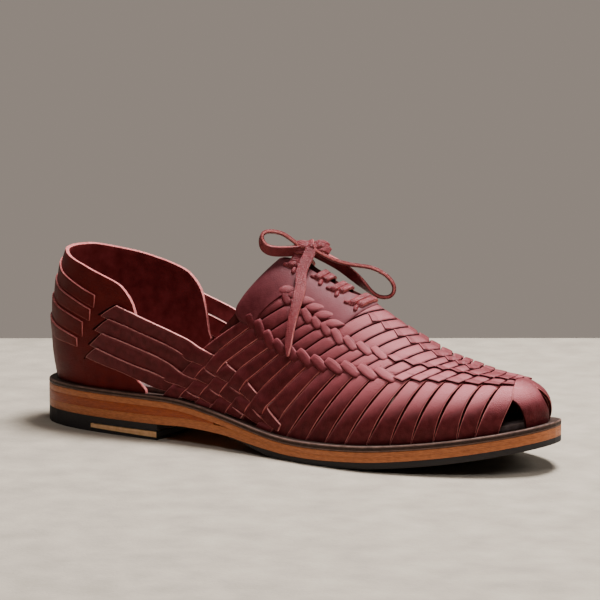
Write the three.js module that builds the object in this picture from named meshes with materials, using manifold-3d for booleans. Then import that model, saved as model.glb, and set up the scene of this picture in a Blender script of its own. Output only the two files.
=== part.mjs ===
// Woven lace-up shoe, right foot, standing empty on its sole.
// Millimetres. +X runs from heel to toe, +Y to the inner (medial) side, +Z up.
// The upper is one leather wall on a last: ribs rise from the sole's edge to the
// ridge of the vamp or to the ankle, and every strip, strap and panel is a patch
// of that one surface, thickened to leather and joined.

import * as THREE from 'three';
import { mergeVertices } from 'three/addons/utils/BufferGeometryUtils.js';
import Module from 'manifold-3d';

const wasm = await Module();
wasm.setup();

// Driving dimensions
const LENGTH = 270;          // sole, heel to toe
const BALL_WIDTH = 86;       // sole, across the ball
const INSTEP_HEIGHT = 88;    // top of the throat above the floor
const HEEL_HEIGHT = 20.9;    // heel seat above the floor
const FOREPART_HEIGHT = 9.9; // sole thickness under the ball
const TOE_SPRING = 12.8;     // lift of the toe tip
const LEATHER = 1.8;         // wall of the upper
const STEP = 0.9;            // an overlaid strip or panel stands this proud
const CLEARANCE = 0.35;      // gap between neighbouring pieces
const LACE_WIDTH = 5.2;
const LACE_THICKNESS = 1.8;

// Where the sole changes along its length, as shares of LENGTH
const HEEL_BREAST = 0.293;
const WEDGE_END = 0.415;
const FOREPART_START = 0.45;
const SEAT_SLOPE_START = 0.30;
const SEAT_SLOPE_END = 0.592;
const TREAD_START = 0.555;
const TREAD_END = 0.615;
const WAIST_LIFT = 5.6;      // thin end of the rubber forepart above the floor

// Reads a table whose rows follow the named columns.
const table = (columns, rows) =>
  rows.map((row) => Object.fromEntries(columns.map((name, i) => [name, row[i]])));

// Slope at a row that never overshoots the rows beside it.
const easedSlope = (before, after) => (before * after > 0 ? (2 * before * after) / (before + after) : 0);

// Smooth value through rows of (key, value) at a key between them.
function through(rows, key, value, at) {
  const last = rows.length - 1;
  if (at <= rows[0][key]) return rows[0][value];
  if (at >= rows[last][key]) return rows[last][value];
  let i = 0;
  while (rows[i + 1][key] < at) i += 1;
  const chord = (k) => (rows[k + 1][value] - rows[k][value]) / (rows[k + 1][key] - rows[k][key]);
  const width = rows[i + 1][key] - rows[i][key];
  const here = chord(i);
  const slopeA = i > 0 ? easedSlope(chord(i - 1), here) : here;
  const slopeB = i + 1 < last ? easedSlope(here, chord(i + 1)) : here;
  const f = (at - rows[i][key]) / width;
  const g = 1 - f;
  return rows[i][value] * g * g * (1 + 2 * f) + rows[i + 1][value] * f * f * (3 - 2 * f)
    + width * f * g * (slopeA * g - slopeB * f);
}

// Sole: plan outline as shares of LENGTH and BALL_WIDTH, heel to toe
const OUTLINE = table(['x', 'lateral', 'medial'], [
  [0.000, 0.000, 0.000],
  [0.005, 0.095, 0.095],
  [0.020, 0.181, 0.185],
  [0.060, 0.269, 0.283],
  [0.120, 0.326, 0.336],
  [0.180, 0.350, 0.352],
  [0.250, 0.362, 0.348],
  [0.350, 0.373, 0.315],
  [0.450, 0.401, 0.315],
  [0.550, 0.452, 0.369],
  [0.650, 0.500, 0.456],
  [0.720, 0.505, 0.499],
  [0.800, 0.453, 0.477],
  [0.880, 0.363, 0.407],
  [0.940, 0.262, 0.315],
  [0.980, 0.147, 0.195],
  [0.996, 0.060, 0.105],
  [1.000, -0.017, 0.017],
]);

// Sole layers: thickness in millimetres along the length
const LAYERS = table(['x', 'welt', 'midsole', 'wedge', 'leather'], [
  [0.000, 2.4, 2.9, 4.5, 3.8],
  [0.293, 2.4, 2.8, 4.2, 4.0],
  [0.370, 2.5, 2.7, 2.2, 4.0],
  [0.460, 2.5, 2.5, 0.0, 3.6],
  [0.555, 2.6, 2.3, 0.0, 2.6],
  [1.000, 2.8, 2.2, 0.0, 2.2],
]);

// Ribs of the last, toe to heel. Plan and heights are shares of LENGTH, BALL_WIDTH
// and INSTEP_HEIGHT. lean and rise carry a rib up from the sole, flare pushes it out;
// reach, shoulder, drop and fullness bring it to its top. plait and inner are where
// the two plaited lines cross the rib.
const RIBS = table([
  'footX', 'lateral', 'medial', 'topX', 'topHalf', 'topZ', 'lean', 'rise', 'flare',
  'reach', 'shoulderLateral', 'shoulderMedial', 'drop', 'fullness', 'plait', 'inner',
], [
  [0.984, -0.009, 0.009, 0.931, 0.000, 0.460, 0.00, 0.66, 3.0, 0.62, 0.55, 0.55, 0.00, 0.0, 0.76, 0.90],
  [0.975, 0.087, 0.110, 0.931, 0.000, 0.460, 0.00, 0.66, 3.0, 0.62, 0.55, 0.55, 0.00, 0.0, 0.76, 0.90],
  [0.952, 0.180, 0.215, 0.931, 0.000, 0.460, 0.05, 0.66, 3.0, 0.60, 0.55, 0.52, 0.00, 0.0, 0.76, 0.90],
  [0.915, 0.262, 0.302, 0.920, 0.000, 0.464, 0.30, 0.66, 2.5, 0.55, 0.55, 0.50, 0.00, 0.0, 0.74, 0.89],
  [0.859, 0.349, 0.384, 0.889, 0.000, 0.475, 0.40, 0.64, 2.5, 0.40, 0.57, 0.50, 0.00, 0.0, 0.72, 0.87],
  [0.781, 0.424, 0.436, 0.841, 0.000, 0.514, 0.45, 0.60, 2.0, 0.30, 0.56, 0.48, 0.00, 0.0, 0.647, 0.815],
  [0.696, 0.459, 0.448, 0.781, 0.000, 0.582, 0.45, 0.55, 2.0, 0.25, 0.54, 0.46, 0.00, 0.0, 0.54, 0.725],
  [0.611, 0.436, 0.378, 0.722, 0.000, 0.677, 0.45, 0.53, 2.0, 0.22, 0.54, 0.48, 0.02, 0.0, 0.467, 0.65],
  [0.526, 0.390, 0.308, 0.661, 0.000, 0.780, 0.47, 0.52, 2.0, 0.20, 0.60, 0.56, 0.04, 0.0, 0.41, 0.605],
  [0.441, 0.355, 0.273, 0.600, 0.000, 0.852, 0.50, 0.51, 2.0, 0.17, 0.70, 0.68, 0.08, 0.0, 0.415, 0.637],
  [0.363, 0.337, 0.273, 0.546, 0.000, 0.932, 0.54, 0.50, 2.0, 0.15, 0.82, 0.82, 0.12, 0.0, 0.48, 0.69],
  [0.296, 0.328, 0.300, 0.496, 0.035, 1.000, 0.58, 0.48, 2.0, 0.14, 0.95, 0.95, 0.17, 0.0, 0.52, 0.74],
  [0.252, 0.326, 0.316, 0.385, 0.291, 1.000, 0.50, 0.42, 2.5, 0.20, 0.20, 0.20, 0.28, 2.5, 0.52, 0.74],
  [0.207, 0.323, 0.321, 0.281, 0.326, 0.989, 0.40, 0.40, 3.0, 0.25, 0.10, 0.10, 0.30, 2.5, 0.52, 0.74],
  [0.156, 0.314, 0.316, 0.185, 0.320, 0.983, 0.33, 0.38, 4.0, 0.30, 0.10, 0.10, 0.30, 3.5, 0.52, 0.74],
  [0.100, 0.279, 0.286, 0.119, 0.279, 0.989, 0.33, 0.38, 5.0, 0.30, 0.10, 0.10, 0.30, 4.5, 0.52, 0.74],
  [0.048, 0.198, 0.205, 0.072, 0.192, 1.006, 0.33, 0.36, 6.5, 0.30, 0.10, 0.10, 0.32, 6.0, 0.52, 0.74],
  [0.022, 0.105, 0.108, 0.052, 0.099, 1.015, 0.33, 0.36, 7.5, 0.30, 0.10, 0.10, 0.32, 7.0, 0.52, 0.74],
  [0.014, 0.000, 0.000, 0.046, 0.000, 1.018, 0.33, 0.36, 8.0, 0.30, 0.10, 0.10, 0.32, 7.5, 0.52, 0.74],
]);
const HEEL = RIBS.length - 1; // station of the heel's centre; the toe's is 0
const THROAT = 11.08;         // station of the throat's top
const TOE_FAN = 2.6;          // ribs up to here share the toe's top point
const SLIT_HALF = 0.036;      // share of a rib that the throat slit takes on each side
const SLIT_END = 8.0;

// Rear edge of the throat panel, from its lower corner to the throat's top
const PANEL_EDGE = table(['share', 'station'], [
  [0.46, 10.45],
  [0.50, 10.78],
  [0.57, 10.96],
  [0.69, 11.04],
  [1.00, THROAT],
]);

// Collar of the counter: share of the rib that it reaches, from its front edge to the heel
const COLLAR = table(['station', 'top'], [
  [12.45, 0.235],
  [12.65, 0.300],
  [12.85, 0.406],
  [13.03, 0.510],
  [13.20, 0.610],
  [13.40, 0.690],
  [13.60, 0.750],
  [14.00, 0.805],
  [14.50, 0.848],
  [15.00, 0.880],
  [16.00, 0.915],
  [17.00, 0.930],
  [18.00, 0.930],
]);

// Side straps: the edges between them, as shares of the rib, from the counter to the weave
const STRAP_EDGES = table(['station', 'edge0', 'edge1', 'edge2', 'edge3', 'edge4'], [
  [7.6, 0.035, 0.000, 0.000, 0.000, 0.000],
  [8.0, 0.075, 0.020, 0.000, 0.000, 0.000],
  [9.0, 0.180, 0.115, 0.045, 0.000, 0.000],
  [10.0, 0.235, 0.155, 0.095, 0.030, 0.000],
  [11.0, 0.272, 0.197, 0.128, 0.070, 0.016],
  [12.0, 0.405, 0.315, 0.225, 0.130, 0.052],
  [13.0, 0.527, 0.420, 0.310, 0.190, 0.108],
  [14.0, 0.645, 0.520, 0.395, 0.272, 0.168],
  [14.4, 0.692, 0.560, 0.430, 0.305, 0.192],
]);
const STRAP_REAR = [13.75, 13.9, 14.05, 14.22];
const STRAP_FRONT = [7.75, 8.1, 8.7, 9.6];
const WEAVE_FRONT = 7.5;
const WEAVE_REAR = 10.95; // straps go under and over the strips in front of this

// Cross strips: stations of the edges between them, at the sole and at the plait
const STRIP_EDGES = table(['sole', 'plait'], [
  [2.52, 2.04],
  [3.26, 2.90],
  [3.73, 3.70],
  [4.27, 4.31],
  [4.71, 4.78],
  [5.14, 5.20],
  [5.61, 5.55],
  [6.08, 5.90],
  [6.55, 6.33],
  [7.02, 6.75],
  [7.51, 7.15],
  [7.90, 7.54],
  [8.30, 7.92],
  [8.70, 8.34],
  [9.10, 8.73],
  [9.50, 9.09],
  [9.93, 9.50],
  [10.40, 9.97],
  [10.95, 10.36],
]);
const STRIPS = STRIP_EDGES.length - 1;
const STRIP_GAP = 1.3;    // widest part of the gap between strips
const GAP_OPENS_AT = 0.07; // share of the rib where the gap is fully open

// Heel bands: upper edges, as shares of the rib, at their ends and at the heel's centre
const HEEL_BANDS = table(['end', 'atEnd', 'atHeel'], [
  [14.20, 0.656, 0.859],
  [14.31, 0.546, 0.740],
  [14.56, 0.444, 0.603],
  [14.78, 0.320, 0.456],
]);
const BAND_DEPTH = 0.078;

// Lace bars: where their near ends go into the throat panel
const LACE_BARS = table(['station', 'end'], [
  [10.48, 0.90],
  [9.60, 0.89],
  [8.98, 0.87],
  [8.22, 0.82],
]);

const clamp = (value, low, high) => Math.min(high, Math.max(low, value));
const mix = (a, b, f) => a + (b - a) * f;
const smooth = (f) => f * f * (3 - 2 * f);

// Height of the welt's top, where the upper stands.
function seatHeight(x) {
  const share = x / LENGTH;
  const waist = clamp((share - SEAT_SLOPE_START) / (SEAT_SLOPE_END - SEAT_SLOPE_START), 0, 1);
  const ahead = Math.max(0, share - SEAT_SLOPE_END) / (1 - SEAT_SLOPE_END);
  return mix(HEEL_HEIGHT, FOREPART_HEIGHT, smooth(waist)) + TOE_SPRING * ahead * ahead;
}

// Underside of the forepart: flat tread under the ball, lifted to waist and toe.
function treadHeight(x) {
  const share = x / LENGTH;
  if (share > TREAD_END) return TOE_SPRING * ((share - TREAD_END) / (1 - TREAD_END)) ** 2;
  const waist = clamp((TREAD_START - share) / (TREAD_START - FOREPART_START), 0, 1);
  return WAIST_LIFT * smooth(waist);
}

// Upper: the ring of ribs, station -HEEL to HEEL; lateral stations are negative
const RIB_VALUES = [
  'footX', 'footY', 'topX', 'topY', 'topZ', 'lean', 'rise', 'flare', 'reach', 'shoulder',
  'drop', 'fullness', 'plait', 'inner',
];
const ribOnSide = (rib, side) => ({
  ...rib,
  footX: rib.footX * LENGTH,
  footY: side * (side < 0 ? rib.lateral : rib.medial) * BALL_WIDTH,
  topX: rib.topX * LENGTH,
  topY: side * rib.topHalf * BALL_WIDTH,
  topZ: rib.topZ * INSTEP_HEIGHT,
  shoulder: side < 0 ? rib.shoulderLateral : rib.shoulderMedial,
});
const RING = [
  ...RIBS.slice(1).reverse().map((rib) => ribOnSide(rib, -1)),
  ...RIBS.map((rib) => ribOnSide(rib, 1)),
];

// Rib at any station of the ring, blended from the four nearest rows.
function ribAt(station) {
  const count = RING.length - 1;
  const place = (((station + HEEL) % count) + count) % count;
  const i = Math.floor(place);
  const f = place - i;
  const g = 1 - f;
  const at = (k) => RING[((k % count) + count) % count];
  const rows = [at(i - 1), at(i), at(i + 1), at(i + 2)];
  const rib = {};
  for (const name of RIB_VALUES) {
    const [a, b, c, d] = rows.map((row) => row[name]);
    const slopeB = easedSlope(b - a, c - b);
    const slopeC = easedSlope(c - b, d - c);
    rib[name] = b * g * g * (1 + 2 * f) + c * f * f * (3 - 2 * f) + f * g * (slopeB * g - slopeC * f);
  }
  return rib;
}

// Point of the last: station around the shoe, share of the way up the rib.
const NEAR_RIB = 0.02; // stations apart, for the direction along the sole's edge
function lastPoint(station, share) {
  const rib = ribAt(station);
  const before = ribAt(station - NEAR_RIB);
  const after = ribAt(station + NEAR_RIB);
  const along = new THREE.Vector2(after.footX - before.footX, after.footY - before.footY).normalize();
  const out = new THREE.Vector3(along.y, -along.x, 0);
  const foot = new THREE.Vector3(rib.footX, rib.footY, seatHeight(rib.footX) + CLEARANCE);
  const top = new THREE.Vector3(rib.topX, rib.topY, rib.topZ);
  const rise = top.z - foot.z;
  const low = foot.clone().addScaledVector(out, rib.flare);
  low.x += (top.x - foot.x) * rib.lean;
  low.z += rise * rib.rise;
  const high = top.clone().addScaledVector(out, rib.fullness);
  high.x += (foot.x - top.x) * rib.reach;
  high.y += (foot.y - top.y) * rib.shoulder;
  high.z -= rise * rib.drop;
  return new THREE.CubicBezierCurve3(foot, low, high, top).getPoint(share);
}

// Outward direction of the last; along the ridge both sides agree.
const RIDGE_SHARE = 0.97;     // from here up a point belongs to the ridge
const RIDGE_END = 11.58;      // station behind the throat where the ridge is over
const RIDGE_TIP = 2.2;        // foremost station whose direction the toe's ribs share
const TOP_SHARE = 0.985;
function lastNormal(station, share) {
  const rate = 0.01;
  const slant = (at, s) => {
    const around = lastPoint(at + rate, s).sub(lastPoint(at - rate, s));
    const up = lastPoint(at, s + rate).sub(lastPoint(at, s - rate));
    return around.cross(up).normalize();
  };
  if (share < RIDGE_SHARE || Math.abs(station) > RIDGE_END) return slant(station, Math.min(share, TOP_SHARE));
  const near = Math.max(Math.abs(station), RIDGE_TIP);
  return slant(near, RIDGE_SHARE).add(slant(-near, RIDGE_SHARE)).normalize();
}

const onLeather = (station, share, lift) =>
  lastPoint(station, share).addScaledVector(lastNormal(station, share), lift);

// Joins vertices that coincide and gives the triangles that keep an area.
function welded(geometry, tolerance) {
  const merged = mergeVertices(geometry, tolerance);
  const index = merged.getIndex().array;
  const kept = [];
  for (let i = 0; i < index.length; i += 3) {
    const [a, b, c] = [index[i], index[i + 1], index[i + 2]];
    if (a !== b && b !== c && c !== a) kept.push([a, b, c]);
  }
  return { merged, kept };
}

// Closed geometry from points and triangles, faces pointing out.
function closedGeometry(points, triangles) {
  const geometry = new THREE.BufferGeometry();
  const coordinates = points.flatMap((point) => point.toArray());
  geometry.setAttribute('position', new THREE.Float32BufferAttribute(coordinates, 3));
  geometry.setIndex(triangles.flat());
  const { merged, kept } = welded(geometry, 1e-3);
  const corner = (i) => new THREE.Vector3().fromBufferAttribute(merged.getAttribute('position'), i);
  const volume = kept.reduce((sum, [a, b, c]) => sum + corner(a).dot(corner(b).cross(corner(c))), 0);
  merged.setIndex((volume < 0 ? kept.map(([a, b, c]) => [a, c, b]) : kept).flat());
  return merged;
}

// Closed sheet between two grids of points of the same size; cells that aren't solid stay open.
function sheetSolid(outer, inner, solid = () => true) {
  const rows = outer.length;
  const columns = outer[0].length;
  const id = (layer, i, j) => layer * rows * columns + i * columns + j;
  const isSolid = (i, j) => i >= 0 && j >= 0 && i + 1 < rows && j + 1 < columns && solid(i, j);
  const triangles = [];
  const quad = (a, b, c, d) => triangles.push([a, b, c], [a, c, d]);
  const edge = (i, j, k, l) => quad(id(0, k, l), id(0, i, j), id(1, i, j), id(1, k, l));
  for (let i = 0; i + 1 < rows; i += 1) {
    for (let j = 0; j + 1 < columns; j += 1) {
      if (!isSolid(i, j)) continue;
      quad(id(0, i, j), id(0, i, j + 1), id(0, i + 1, j + 1), id(0, i + 1, j));
      quad(id(1, i, j), id(1, i + 1, j), id(1, i + 1, j + 1), id(1, i, j + 1));
      if (!isSolid(i - 1, j)) edge(i, j, i, j + 1);
      if (!isSolid(i + 1, j)) edge(i + 1, j + 1, i + 1, j);
      if (!isSolid(i, j - 1)) edge(i + 1, j, i, j);
      if (!isSolid(i, j + 1)) edge(i, j + 1, i + 1, j + 1);
    }
  }
  return closedGeometry([...outer.flat(), ...inner.flat()], triangles);
}

// Leather patch: place(u, v) gives its station and share; it lies between two lifts.
function leatherPatch(place, along, across, lifts) {
  const layer = (lift) => Array.from({ length: along + 1 }, (_, i) =>
    Array.from({ length: across + 1 }, (_, j) => {
      const [station, share] = place(i / along, j / across);
      return onLeather(station, share, lift);
    }));
  return sheetSolid(layer(lifts[1]), layer(lifts[0]));
}

// Patch across the ridge: reach(station) is the lowest share that it takes on either side.
const ridgePlace = (from, to, reach) => (u, v) => {
  const station = mix(from, to, u);
  const side = v < 0.5 ? -1 : 1;
  return [side * station, mix(1, reach(station), Math.abs(2 * v - 1))];
};

function solidOf(geometry) {
  return new wasm.Manifold(new wasm.Mesh({
    numProp: 3,
    vertProperties: Float32Array.from(geometry.getAttribute('position').array),
    triVerts: Uint32Array.from(geometry.getIndex().array),
  }));
}

function geometryOf(solid) {
  const { vertProperties, triVerts } = solid.getMesh();
  const geometry = new THREE.BufferGeometry();
  geometry.setAttribute('position', new THREE.BufferAttribute(vertProperties, 3));
  geometry.setIndex(new THREE.BufferAttribute(triVerts, 1));
  const { merged, kept } = welded(geometry, 5e-3);
  merged.setIndex(kept.flat());
  return merged;
}

const join = (geometries) => geometries.map(solidOf).reduce((whole, next) => whole.add(next));

const WALL = [-LEATHER, 0];
const OVERLAY = [-0.6 * LEATHER, STEP];
const SIDES = [-1, 1];
const ribValue = (station, name) => ribAt(Math.abs(station))[name];
const strapEdge = (station, edge) => through(STRAP_EDGES, 'station', `edge${edge}`, station);

// Counter: one sheet around the heel, from front edge to front edge, with a column at each collar row
// and one halfway between where the heel bends.
const HEEL_BEND = 15;
function counter() {
  const half = COLLAR.flatMap(({ station }) => (station < HEEL_BEND ? [station] : [station - 0.5, station]));
  const columns = [...half, ...half.slice(0, -1).reverse().map((station) => 2 * HEEL - station)];
  const last = columns.length - 1;
  return leatherPatch((u, v) => {
    const station = columns[Math.round(u * last)];
    const top = through(COLLAR, 'station', 'top', HEEL - Math.abs(station - HEEL));
    return [station, v * top];
  }, last, 4, WALL);
}

const heelBands = () => HEEL_BANDS.map((band) => leatherPatch((u, v) => {
  const station = mix(band.end, 2 * HEEL - band.end, u);
  const climb = Math.sin((Math.PI / 2) * (1 - Math.abs(2 * u - 1)));
  const edge = mix(band.atEnd, band.atHeel, climb);
  return [station, edge - BAND_DEPTH * (1 - v)];
}, 12, 1, OVERLAY));

// Free length of each side strap, from its end on the counter to under the first strip of the weave.
const STRAP_LIFTS = [-0.5 * LEATHER, 0.6 * STEP];
const STRAP_INSET = 0.006; // share of the rib left open along each edge of a strap
const STRAP_TUCK = 0.25;
const strapShare = (station, strap, v) =>
  mix(strapEdge(station, strap + 1) + STRAP_INSET, strapEdge(station, strap) - STRAP_INSET, v);

const straps = (side) => STRAP_REAR.map((rear, strap) => leatherPatch((u, v) => {
  const station = mix(rear, WEAVE_REAR - STRAP_TUCK, u);
  return [side * station, strapShare(station, strap, v)];
}, 6, 1, STRAP_LIFTS));

// Station of a strip's edge at a share of the rib: straight under the straps, then leaning to the plait.
// The foremost edge runs to a corner of the toe strip instead, which lies further round on the inner side.
const PAST_PLAIT = 1.1;
const TOE_CORNERS = {
  outer: { sole: 2.52, corner: 2.06, share: 0.42 },
  inner: { sole: 1.45, corner: -0.12, share: 0.60 },
};
function stripEdge(k, share, side = -1) {
  if (k === 0) {
    const edge = side < 0 ? TOE_CORNERS.outer : TOE_CORNERS.inner;
    return mix(edge.sole, edge.corner, clamp(share / edge.share, 0, 1));
  }
  const { sole, plait } = STRIP_EDGES[k];
  const start = sole > WEAVE_FRONT ? strapEdge(sole, 0) : 0;
  const climbed = (share - start) / (ribValue(plait, 'plait') - start);
  return mix(sole, plait, clamp(climbed, 0, PAST_PLAIT));
}

// Woven vamp: strips over the ridge from sole to sole, in one wall. The gaps between them are
// open from low on the side up to the plait, and at each plaited line the strips lie as scales.
const GAP_ROWS = 4;
const PLAIT_HALF = 0.045;  // half of the plaited line's height, as a share of the rib
const INNER_HALF = 0.035;
const PLAIT_SLOPE = 0.01;  // its edges climb over this much
const SCALE_FRONT = 2.0;   // a scale's front edge stands this many steps proud
const SCALE_REAR = 0.2;
const CLOSED_GAP = 0.3;    // share of the gap left where the strips lie close

function vampRows(station) {
  const { plait, inner } = ribAt(station);
  const overStraps = station > WEAVE_FRONT ? strapEdge(station, 0) + PLAIT_SLOPE : 0;
  const opens = Math.max(GAP_OPENS_AT, overStraps);
  const closes = plait - PLAIT_HALF - PLAIT_SLOPE;
  const gap = Array.from({ length: GAP_ROWS }, (_, i) => mix(opens, closes, i / (GAP_ROWS - 1)));
  return [
    0, ...gap,
    plait - PLAIT_HALF, plait + PLAIT_HALF, plait + PLAIT_HALF + PLAIT_SLOPE,
    inner - INNER_HALF - PLAIT_SLOPE, inner - INNER_HALF,
    inner + INNER_HALF, inner + INNER_HALF + PLAIT_SLOPE,
    1,
  ];
}

// Point of the vamp's grid: front or rear edge of strip k, on one row of one side.
function vampLine(side, row, rowsUp, k, atRear) {
  const share = vampRows(stripEdge(k + atRear, (0.5 * row) / rowsUp, side))[row];
  const [front, rear] = [stripEdge(k, share, side), stripEdge(k + 1, share, side)];
  const width = lastPoint(side * front, share).distanceTo(lastPoint(side * rear, share));
  const open = row > 0 && row <= GAP_ROWS ? STRIP_GAP : CLOSED_GAP * STRIP_GAP;
  const inset = (0.5 * open * (rear - front)) / width;
  const raisedRows = [GAP_ROWS + 1, GAP_ROWS + 2, GAP_ROWS + 5, GAP_ROWS + 6];
  const lift = raisedRows.includes(row) ? (atRear ? SCALE_REAR : SCALE_FRONT) * STEP : 0;
  return { station: side * (atRear ? rear - inset : front + inset), share, lift };
}

function wovenVamp() {
  const rowsUp = vampRows(WEAVE_FRONT).length;
  const outer = [];
  const inner = [];
  for (const side of SIDES) {
    for (let step = side < 0 ? 0 : 1; step < rowsUp; step += 1) {
      const row = side < 0 ? step : rowsUp - 1 - step;
      const lines = Array.from({ length: 2 * STRIPS }, (_, j) =>
        vampLine(side, row, rowsUp, Math.floor(j / 2), j % 2));
      outer.push(lines.map((line) => onLeather(line.station, line.share, line.lift)));
      inner.push(lines.map((line) => onLeather(line.station, line.share, -LEATHER)));
    }
  }
  const isGap = (i, j) => {
    const fromSole = Math.min(i, outer.length - 2 - i);
    return j % 2 === 1 && fromSole > 0 && fromSole < GAP_ROWS;
  };
  return sheetSolid(outer, inner, (i, j) => !isGap(i, j));
}

// Where a strap lies over a strip in the weave.
const FIRST_WOVEN = 11;       // foremost strip that the straps cross
const CROSSING_SHARE = 0.1;   // height on the rib where the crossings are set out
const CROSSING_INSET = 0.05;
const CROSSING_REACH = 0.2;   // a strap's last crossing lies this far behind its end
function weaveCrossings(side) {
  const cells = [];
  for (let strap = 0; strap < STRAP_FRONT.length; strap += 1) {
    for (let k = FIRST_WOVEN; k < STRIPS; k += 1) {
      const [front, rear] = [stripEdge(k, CROSSING_SHARE), stripEdge(k + 1, CROSSING_SHARE)];
      if ((strap + k) % 2 === 0 || mix(front, rear, 0.5) < STRAP_FRONT[strap] + CROSSING_REACH) continue;
      cells.push(leatherPatch((u, v) => {
        const station = mix(front + CROSSING_INSET, rear - CROSSING_INSET, u);
        return [side * station, strapShare(station, strap, v)];
      }, 1, 1, OVERLAY));
    }
  }
  return cells;
}

// Smooth throat panel: a border along the throat and a tongue of leather around the slit.
const BORDER_FRONT = 10.1;
const TONGUE = { front: 7.6, rear: 10.3, aboveInner: 0.07 };
const throatPanel = () => [
  leatherPatch((u, v) => {
    const share = mix(1, PANEL_EDGE[0].share, Math.abs(2 * v - 1));
    const rear = through(PANEL_EDGE, 'share', 'station', share);
    return [(v < 0.5 ? -1 : 1) * mix(BORDER_FRONT, rear, u), share];
  }, 2, 14, OVERLAY),
  leatherPatch(
    ridgePlace(TONGUE.front, TONGUE.rear, (station) => ribValue(station, 'inner') + TONGUE.aboveInner),
    5, 4, OVERLAY),
];

// Toe strip over the tip, between stations on the outer and inner side; its last row laps over the ridge.
const TOE_STRIP = table(['share', 'outer', 'inner'], [
  [0.00, 1.35, 0.30],
  [0.10, 1.43, 0.18],
  [0.25, 1.62, -0.06],
  [0.36, 1.85, -0.18],
  [0.42, 2.12, -0.20],
  [0.60, 2.12, -0.12],
  [0.70, 2.12, 2.12],
  [1.00, 2.12, 2.12],
]);
const TOE_LAP = { ridge: 0.99, sides: 0.88 };
const TOE_LIFTS = [-0.9 * LEATHER, 0.3];
const toeStrip = () => leatherPatch((u, v) => {
  if (v === 1) return [(u < 0.5 ? -1 : 1) * TOE_FAN, mix(TOE_LAP.ridge, TOE_LAP.sides, Math.abs(2 * u - 1))];
  return [mix(-through(TOE_STRIP, 'share', 'outer', v), through(TOE_STRIP, 'share', 'inner', v), u), v];
}, 12, 10, TOE_LIFTS);

// Cutter for the throat slit, open at the throat and narrow at its front end.
const SLIT_REAR = THROAT + 0.4;
const SLIT_TIP = 0.3;    // share of the slit's width left at its front end
const SLIT_DEPTH = 6;
const slitShare = (station) => 1 - SLIT_HALF * clamp(station - SLIT_END + SLIT_TIP, SLIT_TIP, 1);
const throatSlit = () =>
  leatherPatch(ridgePlace(SLIT_END, SLIT_REAR, slitShare), 6, 4, [-SLIT_DEPTH, SLIT_DEPTH]);

function upper() {
  const pieces = [wovenVamp(), counter(), ...heelBands(), toeStrip(), ...throatPanel()];
  for (const side of SIDES) pieces.push(...straps(side), ...weaveCrossings(side));
  return geometryOf(join(pieces).subtract(solidOf(throatSlit())));
}

// Sole layer between two heights, from one share of the length to another.
function soleLayer({ outline = OUTLINE, from = 0, to = 1, steps = 26, inset = 0, top, bottom }) {
  const side = (x, name) => Math.max(0, through(outline, 'x', name, x) * BALL_WIDTH - inset);
  const layer = (height) => Array.from({ length: steps + 1 }, (_, i) => {
    const share = (1 - Math.cos((Math.PI * i) / steps)) / 2;
    const x = mix(from, to, share);
    const ends = [-side(x, 'lateral'), side(x, 'medial')];
    return ends.map((y) => new THREE.Vector3(x * LENGTH, y, height(x * LENGTH)));
  });
  return sheetSolid(layer(top), layer(bottom));
}

const layerDepth = (x, names) =>
  names.reduce((sum, name) => sum + through(LAYERS, 'x', name, x / LENGTH), 0);
const under = (...names) => (x) => seatHeight(x) - layerDepth(x, names);
const raised = (height) => (x) => height(x) + CLEARANCE;
const leatherUnderside = under('welt', 'midsole', 'wedge', 'leather');

// Heel block with the slot that its tan wedge fills.
const INLAY = { start: 0.146, top: 3.9, low: 1.2, rearTop: 3.8, rearLow: 1.9 };
const SLOT_PAST_EDGE = { front: 0.02, side: 3 }; // the slot's cutter runs out through the heel's faces
const inlayHeight = (edge, rearEdge) => (x) =>
  mix(rearEdge, edge, clamp((x / LENGTH - INLAY.start) / (HEEL_BREAST - INLAY.start), 0, 1));

function heelInlay(grow) {
  return soleLayer({
    from: INLAY.start - grow / LENGTH,
    to: HEEL_BREAST + (grow > 0 ? SLOT_PAST_EDGE.front : 0),
    steps: 6,
    inset: -SLOT_PAST_EDGE.side * grow,
    top: (x) => inlayHeight(INLAY.top, INLAY.rearTop)(x) + grow,
    bottom: (x) => inlayHeight(INLAY.low, INLAY.rearLow)(x) - grow,
  });
}

function heelLift() {
  const block = soleLayer({ to: HEEL_BREAST, steps: 14, top: leatherUnderside, bottom: () => 0 });
  return geometryOf(solidOf(block).subtract(solidOf(heelInlay(CLEARANCE))));
}

// Insole: lies on the welt inside the upper.
const INSOLE_THICKNESS = 2.5;
const INSOLE_INSET = { side: LEATHER + 3.0, heel: 5.4, toe: 4.8 }; // inside the feather line
const FEATHER = RIBS.map(({ footX, lateral, medial }) => ({ x: footX, lateral, medial })).reverse();
const insole = () => soleLayer({
  outline: FEATHER,
  from: FEATHER[0].x + INSOLE_INSET.heel / LENGTH,
  to: FEATHER[HEEL].x - INSOLE_INSET.toe / LENGTH,
  inset: INSOLE_INSET.side,
  top: (x) => seatHeight(x) + CLEARANCE + INSOLE_THICKNESS,
  bottom: raised(seatHeight),
});

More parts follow.
